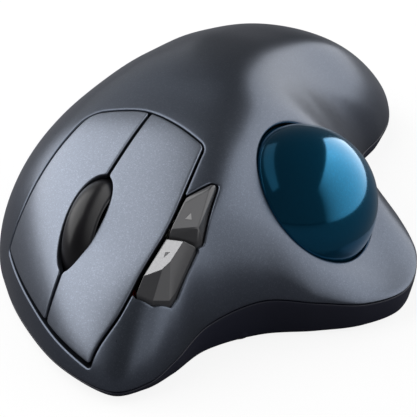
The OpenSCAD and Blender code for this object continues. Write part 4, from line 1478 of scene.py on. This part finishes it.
def scroll_wheel():
    low, high = node_box("wheel_tyre")
    centre = (low + high) / 2 + np.array([.55, 0, 0])   # a little to the thumb side in its slot
    radius, half = (high[2] - low[2]) / 2, (high[0] - low[0]) / 2
    crown, corner = 2.2, .35            # drop of the barrel crown, and corner radius
    bore, chamfer = 9.21, .3
    flat = half - corner
    tread = [(t * flat, radius - crown * (abs(t) * flat / half) ** 2)
             for t in (-1 + 2 * k / 24 for k in range(25))]
    shoulder = [(flat + corner * math.sin(turn),
                 radius - crown + .05 - corner + corner * math.cos(turn))
                for turn in np.linspace(.3, math.pi / 2, 5)]
    sides = [(half, 9.5), (half - chamfer, bore), (-half + chamfer, bore), (-half, 9.5)]
    profile = tread + shoulder + sides + [(-x, r) for x, r in shoulder[::-1]]
    ob = lathe_x("scroll_wheel", centre, profile[::-1], 160, MAT["rubber"])
    register(ob, "wheel", "wheel_tyre")


def thumb_ball():
    """Ball from six projected grids, so it has no poles."""
    bm = bmesh.new()
    bmesh.ops.create_cube(bm, size=2)
    bmesh.ops.subdivide_edges(bm, edges=bm.edges, cuts=39, use_grid_fill=True)
    for v in bm.verts:
        spread = Vector([math.tan(k * math.pi / 4) for k in v.co])
        v.co = spread.normalized() * BALL_R * MM + Vector(BALL) * MM
    ob = from_bmesh("thumb_ball", bm, MAT["ball"])
    register(ob, "ball", "trackball")
    return ob


scroll_wheel()
ball = thumb_ball()

# =====================================================================
# Soft edges and clean shading on the CAD pieces that stay
# =====================================================================
UNBEVELLED = ("battery_spring", "wheel_spring", "ball_cup", "bearing_balls", "wheel_carrier")


def soften_frame():
    for node, ob in frame["nodes"].items():
        if ob.hide_render:
            continue
        ob.modifiers.new("weld", "WELD").merge_threshold = 1e-6
        if node in UNBEVELLED:
            continue
        bevel = ob.modifiers.new("bevel", "BEVEL")
        bevel.width = .00012
        bevel.segments = 2
        bevel.limit_method = "ANGLE"
        bevel.angle_limit = math.radians(35)
        bevel.harden_normals = True


soften_frame()


# =====================================================================
# Studio
# =====================================================================
def floor_white():
    """Shows pale to the camera and stays dim for the light it would throw back."""
    m = Nodes("floor_white", rough=.85, spec=.2)
    m.drive("color", m.drift((.93, .93, .93, 1), amount=.008, scale=6))
    path = m.new("ShaderNodeLightPath")
    glow = m.new("ShaderNodeEmission")
    glow.inputs["Color"].default_value = (1, 1, 1, 1)
    glow.inputs["Strength"].default_value = 1.0
    dim = m.new("ShaderNodeBsdfDiffuse")
    dim.inputs["Color"].default_value = (.16, .16, .17, 1)
    seen = m.new("ShaderNodeMixShader")
    m.feed(seen.inputs[0], .88)         # share of the glow
    m.link(m.bsdf.outputs[0], seen.inputs[1])
    m.link(glow.outputs[0], seen.inputs[2])
    shown = m.new("ShaderNodeMixShader")
    m.link(path.outputs["Is Camera Ray"], shown.inputs[0])
    m.link(dim.outputs[0], shown.inputs[1])
    m.link(seen.outputs[0], shown.inputs[2])
    m.link(shown.outputs[0], m.out.inputs[0])
    return m.mat


def studio_floor():
    bm = bmesh.new()
    bmesh.ops.create_grid(bm, x_segments=8, y_segments=8, size=4.0)
    from_bmesh("studio_floor", bm, floor_white(), smooth=False)


def studio_world():
    """White to the camera, a faint cool fill for everything else."""
    world = bpy.data.worlds.new("studio")
    scene.world = world
    world.use_nodes = True
    nodes, links = world.node_tree.nodes, world.node_tree.links
    nodes.clear()
    out = nodes.new("ShaderNodeOutputWorld")
    path = nodes.new("ShaderNodeLightPath")

    def background(color, strength):
        node = nodes.new("ShaderNodeBackground")
        node.inputs["Color"].default_value = color
        node.inputs["Strength"].default_value = strength
        return node

    seen = background(color=(1, 1, 1, 1), strength=1.0)
    fill = background(color=(.95, .97, 1, 1), strength=.11)
    mix = nodes.new("ShaderNodeMixShader")
    links.new(path.outputs["Is Camera Ray"], mix.inputs[0])
    links.new(fill.outputs[0], mix.inputs[1])
    links.new(seen.outputs[0], mix.inputs[2])
    links.new(mix.outputs[0], out.inputs[0])


def axes_matrix(x_axis, y_axis, z_axis, position):
    return Matrix([[x_axis[i], y_axis[i], z_axis[i], position[i]] for i in range(3)]
                  + [[0, 0, 0, 1]])


def studio_camera():
    """Looks from the front and the thumb side, down on the mouse."""
    azimuth, elevation = math.radians(24.7), math.radians(32.8)
    distance = 450.0
    shift_right, shift_up = -19.93464, -1.459695        # of the camera, from facing the ball
    towards = np.array([math.sin(azimuth) * math.cos(elevation),
                        -math.cos(azimuth) * math.cos(elevation), math.sin(elevation)])
    right = np.array([math.cos(azimuth), math.sin(azimuth), 0])
    up = np.cross(towards, right)
    position = BALL + towards * distance + right * shift_right + up * shift_up
    data = bpy.data.cameras.new("camera")
    ob = bpy.data.objects.new("camera", data)
    scene.collection.objects.link(ob)
    ob.matrix_world = axes_matrix(right, up, towards, position * MM)
    data.sensor_width = 36
    data.lens = 178.316547
    data.clip_start, data.clip_end = .01, 20
    scene.camera = ob
    return ob


studio_floor()
studio_world()
camera = studio_camera()


# =====================================================================
# Lights, placed in metres from the ball
# =====================================================================
def fade_light(data, start, start_level, end, end_level):
    """Brightness that changes along the panel's first edge."""
    data.use_nodes = True
    nodes, links = data.node_tree.nodes, data.node_tree.links
    emission = [n for n in nodes if n.type == "EMISSION"][0]
    geometry = nodes.new("ShaderNodeNewGeometry")
    axes = nodes.new("ShaderNodeSeparateXYZ")
    ramp = nodes.new("ShaderNodeValToRGB")
    links.new(geometry.outputs["Parametric"], axes.inputs[0])
    links.new(axes.outputs[0], ramp.inputs[0])
    stops = ((start, start_level), (end, end_level))
    for element, (position, level) in zip(ramp.color_ramp.elements, stops):
        element.position = position
        element.color = (level,) * 3 + (1,)
    links.new(ramp.outputs[0], emission.inputs["Color"])


def panel(name, corner, along, across, power, fade=None):
    """Softbox given by a corner and two edges, facing the ball."""
    along, across = np.array(along, float), np.array(across, float)
    middle = np.array(corner, float) + (along + across) / 2
    width = np.linalg.norm(along)
    x_axis = along / width
    across = across - x_axis * (across @ x_axis)
    height = np.linalg.norm(across)
    y_axis = across / height
    z_axis = np.cross(x_axis, y_axis)
    if z_axis @ middle < 0:
        y_axis, z_axis = -y_axis, -z_axis
    data = bpy.data.lights.new(name, "AREA")
    data.shape = "RECTANGLE"
    data.size, data.size_y, data.energy = width, height, power
    ob = bpy.data.objects.new(name, data)
    scene.collection.objects.link(ob)
    ob.matrix_world = axes_matrix(x_axis, y_axis, z_axis, middle + BALL * MM)
    ob.visible_camera = False
    if fade:
        fade_light(data, **fade)
    return ob


def link_light(light, pieces, state):
    """The light reaches, or leaves out, just these pieces."""
    group = bpy.data.collections.new(light.name + "_pieces")
    for ob in pieces:
        group.objects.link(ob)
    light.light_linking.receiver_collection = group
    for entry in group.collection_objects:
        entry.light_linking.link_state = state


def card(name, face, ob, power, size=.2, distance=.5):
    """Small square panel, mirrored to the camera by a flat top facet, lighting only its button."""
    corners = flat_top(face)
    centre = corners.mean(0)
    normal = np.cross(corners[1] - corners[0], corners[2] - corners[0])
    normal = normal / np.linalg.norm(normal) * np.sign(normal[2])
    view = np.array(camera.location) / MM - centre
    view = view / np.linalg.norm(view)
    mirrored = 2 * (normal @ view) * normal - view
    along = np.cross(mirrored, [0, 0, 1.0])
    along = along / np.linalg.norm(along)
    across = np.cross(along, mirrored)
    middle = centre * MM + mirrored * distance - BALL * MM
    light = panel(name, corner=middle - along * size / 2 - across * size / 2,
                  along=along * size, across=across * size, power=power)
    link_light(light, [ob], "INCLUDE")


RIGHT_PANEL = dict(corner=(-.04, .91, .51), along=(.55, -1.38, 0), across=(0, 0, -.53))

right = panel("softbox_right", **RIGHT_PANEL, power=5.6,
              fade=dict(start=.5, start_level=.85, end=.97, end_level=.10))
right_ball = panel("softbox_right_ball", **RIGHT_PANEL, power=9.5,
                   fade=dict(start=.40, start_level=1.0, end=.86, end_level=.0))
left = panel("softbox_left", corner=(-.49, .42, .49), along=(.26, -.93, .08),
             across=(-.35, -.15, -.52), power=5.0)
top_left = panel("softbox_top_left", corner=(-.22, .44, .64), along=(.22, -.86, .07),
                 across=(-.28, -.03, -.12), power=1.8)
back_left = panel("softbox_back_left", corner=(-.36, .70, .52), along=(-.56, -.42, .0),
                  across=(-.02, .02, -.50), power=.36)
strip_left = panel("strip_left", corner=(-.49, .42, .49), along=(.26, -.94, .08),
                   across=(-.08, -.03, -.12), power=.18)
card("card_front", FORWARD_TOP, front_button, power=.85)
card("card_rear", BACK_TOP, rear_button, power=.2)
for light in (right, left, top_left, back_left):
    link_light(light, [ball], "EXCLUDE")
for light in (right_ball, strip_left):
    link_light(light, [ball], "INCLUDE")

scene.view_settings.view_transform = "Standard"
scene.view_settings.look = "None"
